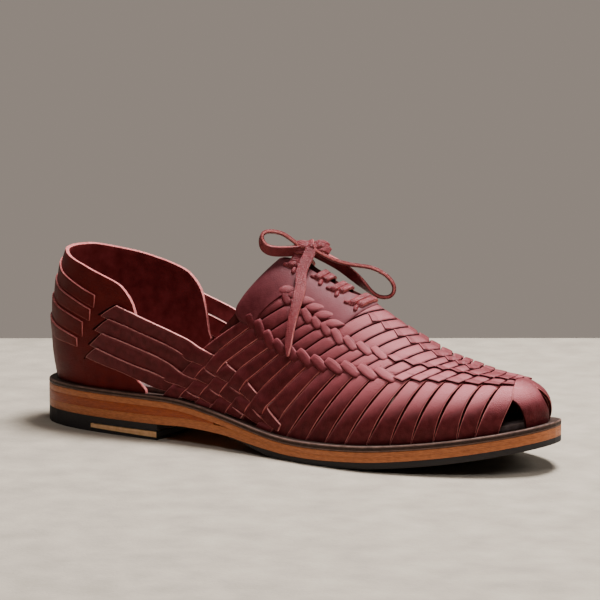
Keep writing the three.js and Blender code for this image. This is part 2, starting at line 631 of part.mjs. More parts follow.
// Lace: flat thong along points, its broad face turned to face(u).
function thong(points, face, steps) {
  const curve = new THREE.CatmullRomCurve3(points);
  const section = table(['across', 'up'], [
    [-0.50, -0.25], [-0.40, -0.50], [0.40, -0.50], [0.50, -0.25],
    [0.50, 0.25], [0.40, 0.50], [-0.40, 0.50], [-0.50, 0.25],
  ]);
  const rings = Array.from({ length: steps + 1 }, (_, i) => {
    const at = curve.getPoint(i / steps);
    const ahead = curve.getTangent(i / steps);
    const across = new THREE.Vector3().crossVectors(ahead, face(i / steps)).normalize();
    const up = new THREE.Vector3().crossVectors(across, ahead).normalize();
    return section.map((corner) => at.clone()
      .addScaledVector(across, corner.across * LACE_WIDTH)
      .addScaledVector(up, corner.up * LACE_THICKNESS));
  });
  const sides = section.length;
  const triangles = [];
  for (let i = 0; i < steps; i += 1) {
    for (let j = 0; j < sides; j += 1) {
      const [a, b] = [i * sides + j, i * sides + ((j + 1) % sides)];
      triangles.push([a, b, b + sides], [a, b + sides, a + sides]);
    }
  }
  const lastRing = steps * sides;
  for (let j = 1; j + 1 < sides; j += 1) {
    triangles.push([0, j + 1, j], [lastRing, lastRing + j, lastRing + j + 1]);
  }
  return closedGeometry(rings.flat(), triangles);
}

// Bow: the knot sits over the top lace bar; points are heel-based, in millimetres.
const BOW_TURN = THREE.MathUtils.degToRad(31.6); // the bow's plane, turned from the shoe's length
const BOW_FACE = new THREE.Vector3(Math.sin(BOW_TURN), -Math.cos(BOW_TURN), 0.2).normalize();
const KNOT = { at: new THREE.Vector3(143.5, 0.5, 92.5), half: new THREE.Vector3(7.5, 4.6, 3.1) };
const LEFT_LOOP = table(['x', 'y', 'z'], [
  [136.8, -3.7, 93.8], [131.5, -8.5, 98.6], [128.0, -12.5, 100.2], [125.4, -15.5, 97.6],
  [126.0, -15.5, 93.0], [129.5, -12.0, 90.6], [136.8, -3.8, 91.1],
]);
const RIGHT_LOOP = table(['x', 'y', 'z'], [
  [150.3, 4.6, 92.0], [160.5, 9.5, 86.6], [169.5, 13.0, 83.0], [177.0, 15.0, 78.4], [179.0, 15.6, 74.0],
  [176.0, 15.6, 70.6], [169.0, 14.8, 71.4], [160.0, 13.8, 76.6], [152.5, 10.2, 83.6], [148.7, 4.8, 89.4],
]);
const FRONT_END = table(['station', 'share', 'lift'], [
  [-10.30, 0.925, 4.6], [-10.04, 0.890, 3.6], [-9.69, 0.800, 2.7], [-9.37, 0.700, 3.1],
  [-9.09, 0.600, 3.2], [-8.74, 0.480, 3.3], [-8.45, 0.385, 3.3],
]);
const places = (rows) => rows.map(({ x, y, z }) => new THREE.Vector3(x, y, z));

function knot() {
  const ball = new THREE.SphereGeometry(1, 12, 8);
  ball.deleteAttribute('normal');
  ball.deleteAttribute('uv');
  ball.scale(KNOT.half.x, KNOT.half.y, KNOT.half.z).rotateZ(BOW_TURN).translate(...KNOT.at.toArray());
  const { merged, kept } = welded(ball, 1e-3);
  merged.setIndex(kept.flat());
  return merged;
}

// A loop stands with its edge to the viewer's side, so its broad face turns with it.
function loop(rows, steps) {
  const points = places(rows);
  const curve = new THREE.CatmullRomCurve3(points);
  return thong(points, (u) => new THREE.Vector3().crossVectors(BOW_FACE, curve.getTangent(u)), steps);
}

function frontEnd() {
  const points = FRONT_END.map(({ station, share, lift }) => onLeather(station, share, lift));
  const face = (u) => {
    const row = FRONT_END[Math.round(u * (FRONT_END.length - 1))];
    return lastNormal(row.station, row.share);
  };
  return thong(points, face, 12);
}

// Lace bar: arches over the slit, clear of the panel.
const BAR_THICKNESS = 0.8 * LACE_THICKNESS;
function laceBar({ station, end }) {
  const base = STEP + CLEARANCE;
  const pitch = lastPoint(station + 0.5, 1).distanceTo(lastPoint(station - 0.5, 1));
  return leatherPatch((u, v) => {
    const side = v < 0.5 ? -1 : 1;
    const share = mix(1, end, Math.abs(2 * v - 1));
    return [side * (station + ((u - 0.5) * LACE_WIDTH) / pitch), share];
  }, 1, 10, [base, base + BAR_THICKNESS]);
}

const group = new THREE.Group();

function add(name, geometry, color, roughness) {
  const mesh = new THREE.Mesh(geometry, new THREE.MeshStandardMaterial({ color, roughness, metalness: 0 }));
  mesh.name = name;
  group.add(mesh);
  return mesh;
}

const BURGUNDY = '#6e2530';
const TAN = '#b5713a';
const RED_BROWN = '#8f4f2a';
const DARK_BROWN = '#3a221c';
const BLACK = '#1c1a19';
const MAUVE = '#8d7a78';

add('upper', upper(), BURGUNDY, 0.45);
add('insole', insole(), MAUVE, 0.8);
add('welt', soleLayer({ top: seatHeight, bottom: raised(under('welt')) }), DARK_BROWN, 0.6);
add('midsole', soleLayer({ top: under('welt'), bottom: raised(under('welt', 'midsole')) }), TAN, 0.5);
add('heel_wedge', soleLayer({
  to: WEDGE_END,
  top: under('welt', 'midsole'),
  bottom: raised(under('welt', 'midsole', 'wedge')),
}), RED_BROWN, 0.5);
add('outsole_leather', soleLayer({
  top: under('welt', 'midsole', 'wedge'),
  bottom: raised(leatherUnderside),
}), TAN, 0.5);
add('outsole_forepart', soleLayer({
  from: FOREPART_START,
  top: leatherUnderside,
  bottom: treadHeight,
}), BLACK, 0.7);
add('heel_lift', heelLift(), BLACK, 0.7);
add('heel_inlay', heelInlay(0), TAN, 0.5);

LACE_BARS.forEach((bar, i) => add(`lace_bar_${i + 1}`, laceBar(bar), BURGUNDY, 0.5));

// The origin is under the middle of the shoe; the bow isn't counted in it.
const box = new THREE.Box3().setFromObject(group);
add('lace_knot', knot(), BURGUNDY, 0.5);
add('lace_loop_left', loop(LEFT_LOOP, 14), BURGUNDY, 0.5);
add('lace_loop_right', loop(RIGHT_LOOP, 20), BURGUNDY, 0.5);
add('lace_end_front', frontEnd(), BURGUNDY, 0.5);
group.position.set(-(box.min.x + box.max.x) / 2, -(box.min.y + box.max.y) / 2, -box.min.z);
group.updateMatrixWorld(true);

export default group;
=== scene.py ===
"""Looks of a woven lace-up leather shoe, right foot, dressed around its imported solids.

Sizes and tables are heel-based millimetres: x from the back of the heel to the toe, y to the inner side,
z up from the floor. A place on the leather is a station around the shoe, from the toe (0) to the heel (18),
negative on the outer side, and a share of the way up its rib, from the sole (0) to the ridge or ankle (1).
"""

import logging
import math
from dataclasses import dataclass, replace
from enum import IntEnum
from typing import Any, Callable, Sequence

import bpy
import numpy as np
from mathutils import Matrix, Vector


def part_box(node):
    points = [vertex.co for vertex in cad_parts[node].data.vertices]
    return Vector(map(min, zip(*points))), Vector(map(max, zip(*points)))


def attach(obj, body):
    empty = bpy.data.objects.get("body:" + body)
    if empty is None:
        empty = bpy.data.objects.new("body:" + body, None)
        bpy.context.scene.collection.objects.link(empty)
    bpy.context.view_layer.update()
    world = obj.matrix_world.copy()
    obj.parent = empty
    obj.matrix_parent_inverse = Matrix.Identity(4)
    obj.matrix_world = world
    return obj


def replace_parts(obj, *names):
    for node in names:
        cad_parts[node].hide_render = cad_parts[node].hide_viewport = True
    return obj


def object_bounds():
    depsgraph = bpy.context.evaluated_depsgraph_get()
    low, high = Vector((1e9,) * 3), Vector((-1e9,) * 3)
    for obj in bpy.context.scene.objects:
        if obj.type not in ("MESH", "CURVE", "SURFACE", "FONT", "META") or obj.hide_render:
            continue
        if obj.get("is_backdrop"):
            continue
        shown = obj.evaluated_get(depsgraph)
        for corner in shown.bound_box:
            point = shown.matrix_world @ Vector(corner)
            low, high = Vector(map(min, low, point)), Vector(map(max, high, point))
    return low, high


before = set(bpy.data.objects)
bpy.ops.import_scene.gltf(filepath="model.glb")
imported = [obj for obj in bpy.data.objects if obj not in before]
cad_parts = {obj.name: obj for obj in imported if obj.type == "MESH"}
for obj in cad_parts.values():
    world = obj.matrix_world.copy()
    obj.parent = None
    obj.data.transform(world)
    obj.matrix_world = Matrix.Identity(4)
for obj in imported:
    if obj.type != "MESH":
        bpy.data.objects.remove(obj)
CAD_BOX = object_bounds()
LOG = logging.getLogger("woven_shoe")
MM = 0.001
SIDES = (-1, 1)  # outer side of the foot, inner side of the foot
UP = np.array([0.0, 0.0, 1.0])
Array = np.ndarray
Value = Array | float
Colour = tuple[float, float, float]
Spot = tuple[float, float]
Thing = bpy.types.Object
Shape = Callable[[Array, Array, Array], Array]
Place = Callable[[Array, Array], tuple[Array, Array]]
Lift = Callable[[Array, Array], Array]
Height = Callable[[Array], Array]

# Ribs of the last, toe to heel, as shares of its length, ball width and instep height.
RIB_COLUMNS = (
    "foot_x lateral medial top_x top_half top_z lean rise flare "
    "reach shoulder_lateral shoulder_medial drop fullness plait inner"
).split()
RIBS = np.array([
    [0.984, -0.009, 0.009, 0.931, 0.000, 0.460, 0.00, 0.66, 3.0, 0.62, 0.55, 0.55, 0.00, 0.0, 0.76, 0.90],
    [0.975, 0.087, 0.110, 0.931, 0.000, 0.460, 0.00, 0.66, 3.0, 0.62, 0.55, 0.55, 0.00, 0.0, 0.76, 0.90],
    [0.952, 0.180, 0.215, 0.931, 0.000, 0.460, 0.05, 0.66, 3.0, 0.60, 0.55, 0.52, 0.00, 0.0, 0.76, 0.90],
    [0.915, 0.262, 0.302, 0.920, 0.000, 0.464, 0.30, 0.66, 2.5, 0.55, 0.55, 0.50, 0.00, 0.0, 0.74, 0.89],
    [0.859, 0.349, 0.384, 0.889, 0.000, 0.475, 0.40, 0.64, 2.5, 0.40, 0.57, 0.50, 0.00, 0.0, 0.72, 0.87],
    [0.781, 0.424, 0.436, 0.841, 0.000, 0.514, 0.45, 0.60, 2.0, 0.30, 0.56, 0.48, 0.00, 0.0, 0.647, 0.815],
    [0.696, 0.459, 0.448, 0.781, 0.000, 0.582, 0.45, 0.55, 2.0, 0.25, 0.54, 0.46, 0.00, 0.0, 0.54, 0.725],
    [0.611, 0.436, 0.378, 0.722, 0.000, 0.677, 0.45, 0.53, 2.0, 0.22, 0.54, 0.48, 0.02, 0.0, 0.467, 0.65],
    [0.526, 0.390, 0.308, 0.661, 0.000, 0.780, 0.47, 0.52, 2.0, 0.20, 0.60, 0.56, 0.04, 0.0, 0.41, 0.605],
    [0.441, 0.355, 0.273, 0.600, 0.000, 0.852, 0.50, 0.51, 2.0, 0.17, 0.70, 0.68, 0.08, 0.0, 0.415, 0.637],
    [0.363, 0.337, 0.273, 0.546, 0.000, 0.932, 0.54, 0.50, 2.0, 0.15, 0.82, 0.82, 0.12, 0.0, 0.48, 0.69],
    [0.296, 0.328, 0.300, 0.496, 0.035, 1.000, 0.58, 0.48, 2.0, 0.14, 0.95, 0.95, 0.17, 0.0, 0.52, 0.74],
    [0.252, 0.326, 0.316, 0.385, 0.291, 1.000, 0.50, 0.42, 2.5, 0.20, 0.20, 0.20, 0.28, 2.5, 0.52, 0.74],
    [0.207, 0.323, 0.321, 0.281, 0.326, 0.989, 0.40, 0.40, 3.0, 0.25, 0.10, 0.10, 0.30, 2.5, 0.52, 0.74],
    [0.156, 0.314, 0.316, 0.185, 0.320, 0.983, 0.33, 0.38, 4.0, 0.30, 0.10, 0.10, 0.30, 3.5, 0.52, 0.74],
    [0.100, 0.279, 0.286, 0.119, 0.279, 0.989, 0.33, 0.38, 5.0, 0.30, 0.10, 0.10, 0.30, 4.5, 0.52, 0.74],
    [0.048, 0.198, 0.205, 0.072, 0.192, 1.006, 0.33, 0.36, 6.5, 0.30, 0.10, 0.10, 0.32, 6.0, 0.52, 0.74],
    [0.022, 0.105, 0.108, 0.052, 0.099, 1.015, 0.33, 0.36, 7.5, 0.30, 0.10, 0.10, 0.32, 7.0, 0.52, 0.74],
    [0.014, 0.000, 0.000, 0.046, 0.000, 1.018, 0.33, 0.36, 8.0, 0.30, 0.10, 0.10, 0.32, 7.5, 0.52, 0.74],
])

# Sole: plan outline, heel to toe, as shares of length and ball width: x, lateral, medial.
OUTLINE = np.array([
    [0.000, 0.000, 0.000], [0.005, 0.095, 0.095], [0.020, 0.181, 0.185], [0.060, 0.269, 0.283],
    [0.120, 0.326, 0.336], [0.180, 0.350, 0.352], [0.250, 0.362, 0.348], [0.350, 0.373, 0.315],
    [0.450, 0.401, 0.315], [0.550, 0.452, 0.369], [0.650, 0.500, 0.456], [0.720, 0.505, 0.499],
    [0.800, 0.453, 0.477], [0.880, 0.363, 0.407], [0.940, 0.262, 0.315], [0.980, 0.147, 0.195],
    [0.996, 0.060, 0.105], [1.000, -0.017, 0.017],
])

# Sole layers: thickness along the length: x, welt, midsole, wedge, leather outsole.
LAYERS = np.array([
    [0.000, 2.4, 2.9, 4.5, 3.8], [0.293, 2.4, 2.8, 4.2, 4.0], [0.370, 2.5, 2.7, 2.2, 4.0],
    [0.460, 2.5, 2.5, 0.0, 3.6], [0.555, 2.6, 2.3, 0.0, 2.6], [1.000, 2.8, 2.2, 0.0, 2.2],
])

# Rear edge of the throat panel: share of the rib, station.
PANEL_EDGE = np.array([[0.46, 10.45], [0.50, 10.78], [0.57, 10.96], [0.69, 11.04], [1.00, 11.08]])

# Collar of the counter: station, share of the rib that it reaches.
COLLAR = np.array([
    [12.45, 0.235], [12.65, 0.300], [12.85, 0.406], [13.03, 0.510], [13.20, 0.610], [13.40, 0.690],
    [13.60, 0.750], [14.00, 0.805], [14.50, 0.848], [15.00, 0.880], [16.00, 0.915], [17.00, 0.930],
    [18.00, 0.930],
])

# Side straps: station, then the five edges between and beside them, top edge first.
STRAP_EDGES = np.array([
    [7.6, 0.035, 0.000, 0.000, 0.000, 0.000],
    [8.0, 0.075, 0.020, 0.000, 0.000, 0.000],
    [9.0, 0.180, 0.115, 0.045, 0.000, 0.000],
    [10.0, 0.235, 0.155, 0.095, 0.030, 0.000],
    [11.0, 0.272, 0.197, 0.128, 0.070, 0.016],
    [12.0, 0.405, 0.315, 0.225, 0.130, 0.052],
    [13.0, 0.527, 0.420, 0.310, 0.190, 0.108],
    [14.0, 0.645, 0.520, 0.395, 0.272, 0.168],
    [14.4, 0.692, 0.560, 0.430, 0.305, 0.192],
])
STRAP_REAR = (13.75, 13.90, 14.05, 14.22)
STRAP_FRONT = (7.75, 8.10, 8.70, 9.60)

# Cross strips: stations of the edges between them, at the sole and at the plait, toe first.
STRIP_EDGES = np.array([
    [2.52, 2.04], [3.26, 2.90], [3.73, 3.70], [4.27, 4.31], [4.71, 4.78], [5.14, 5.20], [5.61, 5.55],
    [6.08, 5.90], [6.55, 6.33], [7.02, 6.75], [7.51, 7.15], [7.90, 7.54], [8.30, 7.92], [8.70, 8.34],
    [9.10, 8.73], [9.50, 9.09], [9.93, 9.50], [10.40, 9.97], [10.95, 10.36],
])
STRIPS = len(STRIP_EDGES) - 1
FIRST_WOVEN = 11

# Heel bands: station of their ends, share of their upper edge there and at the heel's centre; the last row is
# the lowest band's lower edge.
HEEL_BANDS = np.array([
    [14.20, 0.656, 0.859], [14.31, 0.546, 0.740], [14.56, 0.444, 0.603],
    [14.78, 0.320, 0.456], [14.82, 0.243, 0.309],
])

# Lace bars: station and share where their outer ends go into the throat panel.
LACE_BARS = ((10.48, 0.90), (9.56, 0.922), (8.92, 0.902), (8.17, 0.858))
# Folds beside a bar's ends: stations behind and shares above the end, degrees of turn.
BAR_TAILS = ((0.20, 0.004, 20.0), (-0.10, -0.012, -70.0))

# Toe strip: share of the rib, stations of its outer and inner edge.
TOE_STRIP = np.array([
    [0.00, 1.35, 0.30], [0.10, 1.43, 0.18], [0.25, 1.62, -0.06], [0.36, 1.85, -0.18], [0.42, 2.06, -0.20],
    [0.60, 2.06, -0.12], [0.64, 2.06, 0.20], [0.70, 2.06, 2.06], [1.00, 2.06, 2.06],
])
# Front edge of the foremost strip on each side: station at the sole, station and share at the toe strip.
TOE_CORNERS = {-1: (2.52, 2.06, 0.42), 1: (1.45, -0.12, 0.60)}

# Pointed strip ends under the throat panel: station, share.
LEAVES = np.array([[8.13, 0.672], [8.52, 0.702], [8.90, 0.727], [9.28, 0.742], [9.64, 0.750], [9.97, 0.752]])

# Bow: places to the right of, above and in front of the knot's centre, as seen from the outer side.
KNOT_CENTRE = (143.5, 0.5, 92.5)
LEFT_LOOP = (
    (-2.5, -0.6, 0.3), (-4.8, -0.2, 0.4), (-7.5, 2.3, 0.8), (-12.6, 5.8, 1.2), (-18.0, 7.0, 1.8),
    (-21.4, 6.2, 2.6), (-22.3, 3.6, 3.2), (-21.0, 0.2, 3.6), (-17.7, -1.6, 3.7), (-12.0, -2.0, 3.2),
    (-6.3, -1.8, 2.0), (-3.0, -1.4, 1.0),
)
RIGHT_LOOP = (
    (1.6, -1.2, 1.0), (4.0, -2.7, 1.6), (7.9, -4.8, 1.8), (11.9, -6.6, 1.8), (17.0, -8.0, 1.8),
    (22.0, -8.8, 2.2), (27.7, -9.6, 3.0), (32.2, -11.3, 4.0), (36.2, -14.1, 5.0), (38.5, -17.6, 5.6),
    (38.4, -20.9, 5.4), (36.2, -23.0, 4.6), (32.2, -23.2, 3.2), (28.6, -21.3, 1.8), (24.6, -17.8, 0.2),
    (20.2, -14.1, -1.0), (14.6, -9.9, -1.8), (8.7, -6.4, -1.6), (3.9, -3.8, -0.8), (1.6, -2.3, -0.4),
)
# Hanging end: it leaves the knot, then lies on the outer side at station, share and lift off the leather.
FRONT_END_TOP = ((0.4, -0.6, 3.4), (-0.5, -3.2, 4.9))
FRONT_END = (
    (-10.08, 0.892, 3.7), (-9.69, 0.800, 2.8), (-9.37, 0.700, 3.1), (-9.09, 0.600, 3.2), (-8.74, 0.480, 3.3),
    (-8.45, 0.385, 3.3),
)

# Sole layers, one above the other, by their columns in LAYERS.
WELT_LAYER, MIDSOLE_LAYER, WEDGE_LAYER, LEATHER_LAYER = 1, 2, 3, 4

# Gaps between the cross strips: share of the strip's length, width of the gap.
STRIP_GAPS = np.array([[0.0, 0.15], [0.10, 0.45], [0.30, 1.05], [0.60, 1.25], [1.0, 0.60]])
WOVEN_GAPS = np.array([[0.0, 0.4], [0.5, 0.4], [0.75, 0.6], [1.0, 0.7]])
GAP_SHARE = {-1: 1.0, 1: 0.08}  # the hidden inner side is nearly closed

# Plaited lines, first and second: stretch, width and height of their rounded segments.
ROPES = ((1.52, 5.7, 1.00), (1.46, 5.0, 0.92))
# Plaited lines, first to third: half height, as a share, and how proud their flat segments stand.
SCALES = ((0.044, 1.0), (0.027, 1.0), (0.021, 0.75))

# Knot: runs of the thong as places beside its centre, each with its width; starts of its runs to the eyelets.
KNOT_RUNS = (
    (((-7.2, 0.4, 1.0), (-3.5, 1.2, 2.0), (0.5, 0.2, 2.2), (4.0, -1.6, 1.4)), 3.6),
    (((-7.0, -1.6, 1.8), (-3.5, -1.6, 2.4), (0.0, -0.4, 2.4), (3.6, 1.2, 1.6)), 3.4),
    (((1.2, -0.2, 1.2), (4.0, 1.2, 1.8), (6.4, 1.0, 1.6), (8.2, -0.6, 1.0)), 3.6),
    (((1.6, -1.8, 1.6), (4.6, -0.6, 2.4), (7.2, -0.9, 2.2), (9.0, -2.6, 1.4)), 3.4),
)
EYELET_STARTS = ((-3.6, -1.6, 0.6), (2.6, -1.6, -1.0))
# Eyelets of the knot's runs: station, share, lift.
EYELET = np.array([[10.62, 0.955, 2.4], [10.55, 0.915, 0.9]])

# Lamps: name, metres to the right of, behind and above the shoe, size, watts.
LAMPS = (
    ("top_light", (0.25, 0.12, 1.12), 0.36, 40.0),
    ("side_light", (1.10, -0.10, 0.75), 0.5, 4.5),
    ("near_light", (0.10, -0.80, 1.05), 0.4, 5.0),
)


def mix(a: Value, b: Value, f: Value) -> Value:
    """Value a share f of the way from a to b."""
    return a + (b - a) * f


def smooth(f: Value) -> Value:
    """Eased share, flat at 0 and 1."""
    f = np.clip(f, 0.0, 1.0)
    return f * f * (3 - 2 * f)


def eased(before: Array, after: Array) -> Array:
    """Slope between two chords that never overshoots the rows beside it.

    Args:
        before: slope of the chord before the row.
        after: slope of the chord after it.

    Returns:
        The slope at the row.
    """
    product = before * after
    rising = product > 0
    return np.where(rising, 2 * product / np.where(rising, before + after, 1.0), 0.0)


def through(rows: Array, column: int, at: Value) -> Array:
    """Smooth value through a table's rows.

    Args:
        rows: table whose first column is the key.
        column: column of the value.
        at: keys to read at.

    Returns:
        The values, with the table's ends held beyond it.
    """
    keys, values = rows[:, 0], rows[:, column]
    at = np.clip(at, keys[0], keys[-1])
    i = np.clip(np.searchsorted(keys, at) - 1, 0, len(keys) - 2)
    width = np.diff(keys)
    chords = np.diff(values) / width
    here = chords[i]
    last = len(chords) - 1
    slope_a = np.where(i > 0, eased(chords[np.maximum(i - 1, 0)], here), here)
    slope_b = np.where(i < last, eased(here, chords[np.minimum(i + 1, last)]), here)
    f = (at - keys[i]) / width[i]
    g = 1 - f
    return (
        values[i] * g * g * (1 + 2 * f) + values[i + 1] * f * f * (3 - 2 * f)
        + width[i] * f * g * (slope_a * g - slope_b * f)
    )


def unit(vectors: Array) -> Array:
    """The vectors at length one."""
    return vectors / np.maximum(np.linalg.norm(vectors, axis=-1, keepdims=True), 1e-12)


def crown(v: Array, height: float) -> Array:
    """Rise across a band: the full height in its middle and none at its edges."""
    return height * (1 - (2 * v - 1) ** 2)


def dome(f: Array, power: float) -> Array:
    """Rise along a pad: one in its middle and none at its ends, squarer with a higher power."""
    return np.sqrt(np.clip(1 - np.abs(2 * f - 1) ** power, 0, 1))


def blunt(u: Array) -> Array:
    """Width of a plait's segment along it."""
    end_width = 0.66
    return mix(end_width, 1.0, np.sin(math.pi * u))


def almond(u: Array) -> Array:
    """Width of a pointed strip end along it, fullest behind its middle."""
    fullest, tip = 0.85, 0.06
    return np.clip(np.sin(math.pi * u**fullest), tip, 1)


def folded(u: Array) -> Array:
    """Width of a folded thong end along it."""
    square, tip = 2.5, 0.15
    return np.sqrt(np.clip(1 - np.abs(2 * u - 1) ** square, tip, 1))


def even(lift: float) -> Lift:
    """The same lift everywhere."""
    return lambda u, v: np.full_like(u, lift)


def below(high: Lift, depth: float) -> Lift:
    """The lift that lies a depth below another."""
    return lambda u, v: high(u, v) - depth


class Rib(IntEnum):
    """Columns of a rib that is set out on one side of the last."""

    FOOT_X = 0
    FOOT_Y = 1
    TOP_X = 2
    TOP_Y = 3
    TOP_Z = 4
    LEAN = 5
    RISE = 6
    FLARE = 7
    REACH = 8
    SHOULDER = 9
    DROP = 10
    FULLNESS = 11
    PLAIT = 12
    INNER = 13


@dataclass(frozen=True)
class Blank:
    """A piece cut from hide: its cells along and across, and where each of its points goes.

    shape takes u along, v across and w through the leather, each 0 to 1, and gives heel-based points.
    """

    along: int
    across: int
    shape: Shape


@dataclass
class Last:
    """The form that the leather lies on: ribs rise from the sole's edge to the ridge or the ankle."""

    length: float = 270.0
    ball_width: float = 86.0
    instep_height: float = 88.0
    heel_height: float = 20.9
    forepart_height: float = 9.9
    toe_spring: float = 12.8
    clearance: float = 0.35
    slope_start: float = 0.30
    slope_end: float = 0.592
    outline_steps: int = 26
    step: float = 0.01  # between the points that a slope is taken from

    def __post_init__(self) -> None:
        """Sets out the ring of ribs and the way from the heel to the shared frame."""
        outer, inner = (self._ribs_on(side) for side in SIDES)
        self.ring = np.concatenate([outer[:0:-1], inner])
        self.heel = len(RIBS) - 1
        at = (1 - np.cos(np.linspace(0, math.pi, self.outline_steps + 1))) / 2
        lateral = np.max(through(OUTLINE, 1, at)) * self.ball_width
        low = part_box("welt")[0]
        self.offset = np.array([low[0] / MM, low[1] / MM + lateral, 0.0])

    def _ribs_on(self, side: int) -> Array:
        """Rows of Rib columns, toe to heel.

        Args:
            side: side of the foot.

        Returns:
            The rows, in millimetres where they are lengths.
        """
        rib = dict(zip(RIB_COLUMNS, RIBS.T))
        half = rib["lateral"] if side < 0 else rib["medial"]
        shoulder = rib["shoulder_lateral"] if side < 0 else rib["shoulder_medial"]
        placed = [
            rib["foot_x"] * self.length, side * half * self.ball_width, rib["top_x"] * self.length,
            side * rib["top_half"] * self.ball_width, rib["top_z"] * self.instep_height,
        ]
        bent = [rib[name] for name in ("lean", "rise", "flare", "reach")]
        rest = [rib[name] for name in ("drop", "fullness", "plait", "inner")]
        return np.stack([*placed, *bent, shoulder, *rest], axis=1)

    def seat(self, x: Array) -> Array:
        """Height of the welt's top, where the upper stands.

        Args:
            x: places along the shoe.

        Returns:
            The heights.
        """
        share = x / self.length
        waist = smooth((share - self.slope_start) / (self.slope_end - self.slope_start))
        ahead = np.maximum(0, share - self.slope_end) / (1 - self.slope_end)
        return mix(self.heel_height, self.forepart_height, waist) + self.toe_spring * ahead * ahead

    def ribs(self, station: Value) -> Array:
        """Ribs of the ring, blended from the four nearest rows.

        Args:
            station: places around the shoe.

        Returns:
            Their Rib columns.
        """
        count = len(self.ring) - 1
        place = np.mod(np.asarray(station, float) + self.heel, count)
        i = np.floor(place).astype(int)
        f = (place - i)[..., None]
        g = 1 - f
        a, b, c, d = (self.ring[(i + k) % count] for k in (-1, 0, 1, 2))
        slope_b, slope_c = eased(b - a, c - b), eased(c - b, d - c)
        return b * g * g * (1 + 2 * f) + c * f * f * (3 - 2 * f) + f * g * (slope_b * g - slope_c * f)

    def value(self, station: Value, column: Rib) -> Array:
        """One column of the ribs, the same on both sides."""
        return self.ribs(np.abs(station))[..., column]

    def point(self, station: Value, share: Value) -> Array:
        """Points of the last.

        Args:
            station: place around the shoe.
            share: share of the way up the rib.

        Returns:
            Heel-based points.
        """
        near = 0.02
        station, share = np.broadcast_arrays(np.asarray(station, float), np.asarray(share, float))
        rib = self.ribs(station)
        along = unit((self.ribs(station + near) - self.ribs(station - near))[..., :2])
        out = np.stack([along[..., 1], -along[..., 0], np.zeros_like(along[..., 0])], axis=-1)
        foot_x, foot_y = rib[..., Rib.FOOT_X], rib[..., Rib.FOOT_Y]
        foot = np.stack([foot_x, foot_y, self.seat(foot_x) + self.clearance], axis=-1)
        top = rib[..., [Rib.TOP_X, Rib.TOP_Y, Rib.TOP_Z]]
        span = top - foot
        low = foot + out * rib[..., Rib.FLARE, None]
        low[..., 0] += span[..., 0] * rib[..., Rib.LEAN]
        low[..., 2] += span[..., 2] * rib[..., Rib.RISE]
        high = top + out * rib[..., Rib.FULLNESS, None]
        for axis, column in enumerate((Rib.REACH, Rib.SHOULDER, Rib.DROP)):
            high[..., axis] -= span[..., axis] * rib[..., column]
        f = share[..., None]
        g = 1 - f
        return foot * g**3 + 3 * low * g * g * f + 3 * high * g * f * f + top * f**3

    def slopes(self, station: Value, share: Value) -> tuple[Array, Array]:
        """How a point of the last moves over two steps around it and two steps up it.

        Args:
            station: place around the shoe.
            share: share of the way up the rib.

        Returns:
            The moves around and up.
        """
        around = self.point(station + self.step, share) - self.point(station - self.step, share)
        up = self.point(station, share + self.step) - self.point(station, share - self.step)
        return around, up

    def normal(self, station: Value, share: Value) -> Array:
        """Outward direction of the last; along the ridge both sides agree.

        Args:
            station: place around the shoe.
            share: share of the way up the rib.

        Returns:
            The directions.
        """
        ridge, ridge_end, ridge_tip, top = 0.97, 11.58, 2.2, 0.985
        station, share = np.broadcast_arrays(np.asarray(station, float), np.asarray(share, float))
        near = np.maximum(np.abs(station), ridge_tip)
        at_ridge = np.full_like(near, ridge)
        plain, inner, outer = (
            unit(np.cross(*self.slopes(around, up)))
            for around, up in ((station, np.minimum(share, top)), (near, at_ridge), (-near, at_ridge))
        )
        on_ridge = (share >= ridge) & (np.abs(station) <= ridge_end)
        return np.where(on_ridge[..., None], unit(inner + outer), plain)

    def on(self, station: Value, share: Value, lift: Value) -> Array:
        """Points that lie a lift off the last."""
        return self.point(station, share) + self.normal(station, share) * np.asarray(lift, float)[..., None]

    def to_frame(self, points: Array) -> Array:
        """Heel-based millimetres as metres of the shared frame."""
        return (np.asarray(points, float) + self.offset) * MM

    def chart(self, station: float, share: float, ahead: Array, turn: float = 0.0) -> Place:
        """Flat map around a point of the last.

        Args:
            station: place of the map's origin.
            share: place of the map's origin.
            ahead: direction that x takes; y goes up the rib from it.
            turn: degrees that x is turned up.

        Returns:
            A function from x and y in millimetres to stations and shares.
        """
        by_station, by_share = (move / (2 * self.step) for move in self.slopes(station, share))
        normal = self.normal(station, share)
        x_axis = unit(ahead - normal * float(ahead @ normal))
        y_axis = np.cross(normal, x_axis)
        y_axis *= math.copysign(1.0, float(y_axis @ by_share))
        cos, sin = math.cos(math.radians(turn)), math.sin(math.radians(turn))
        x_axis, y_axis = x_axis * cos + y_axis * sin, y_axis * cos - x_axis * sin
        back = np.linalg.pinv(np.stack([by_station, by_share], axis=1))

        def place(x: Array, y: Array) -> tuple[Array, Array]:
            """Stations and shares of flat points."""
            moved = (x[..., None] * x_axis + y[..., None] * y_axis) @ back.T
            return station + moved[..., 0], share + moved[..., 1]

        return place

    def blank(self, along: int, across: int, place: Place, low: Lift, high: Lift) -> Blank:
        """Blank that is laid on the last.

        Args:
            along: its cells along.
            across: its cells across.
            place: stations and shares of u and v.
            low: lift of its flesh side at u and v.
            high: lift of its grain side at u and v.

        Returns:
            The blank.
        """

        def shape(u: Array, v: Array, w: Array) -> Array:
            """Points of the laid blank."""
            return self.on(*place(u, v), mix(low(u, v), high(u, v), w))

        return Blank(along, across, shape)


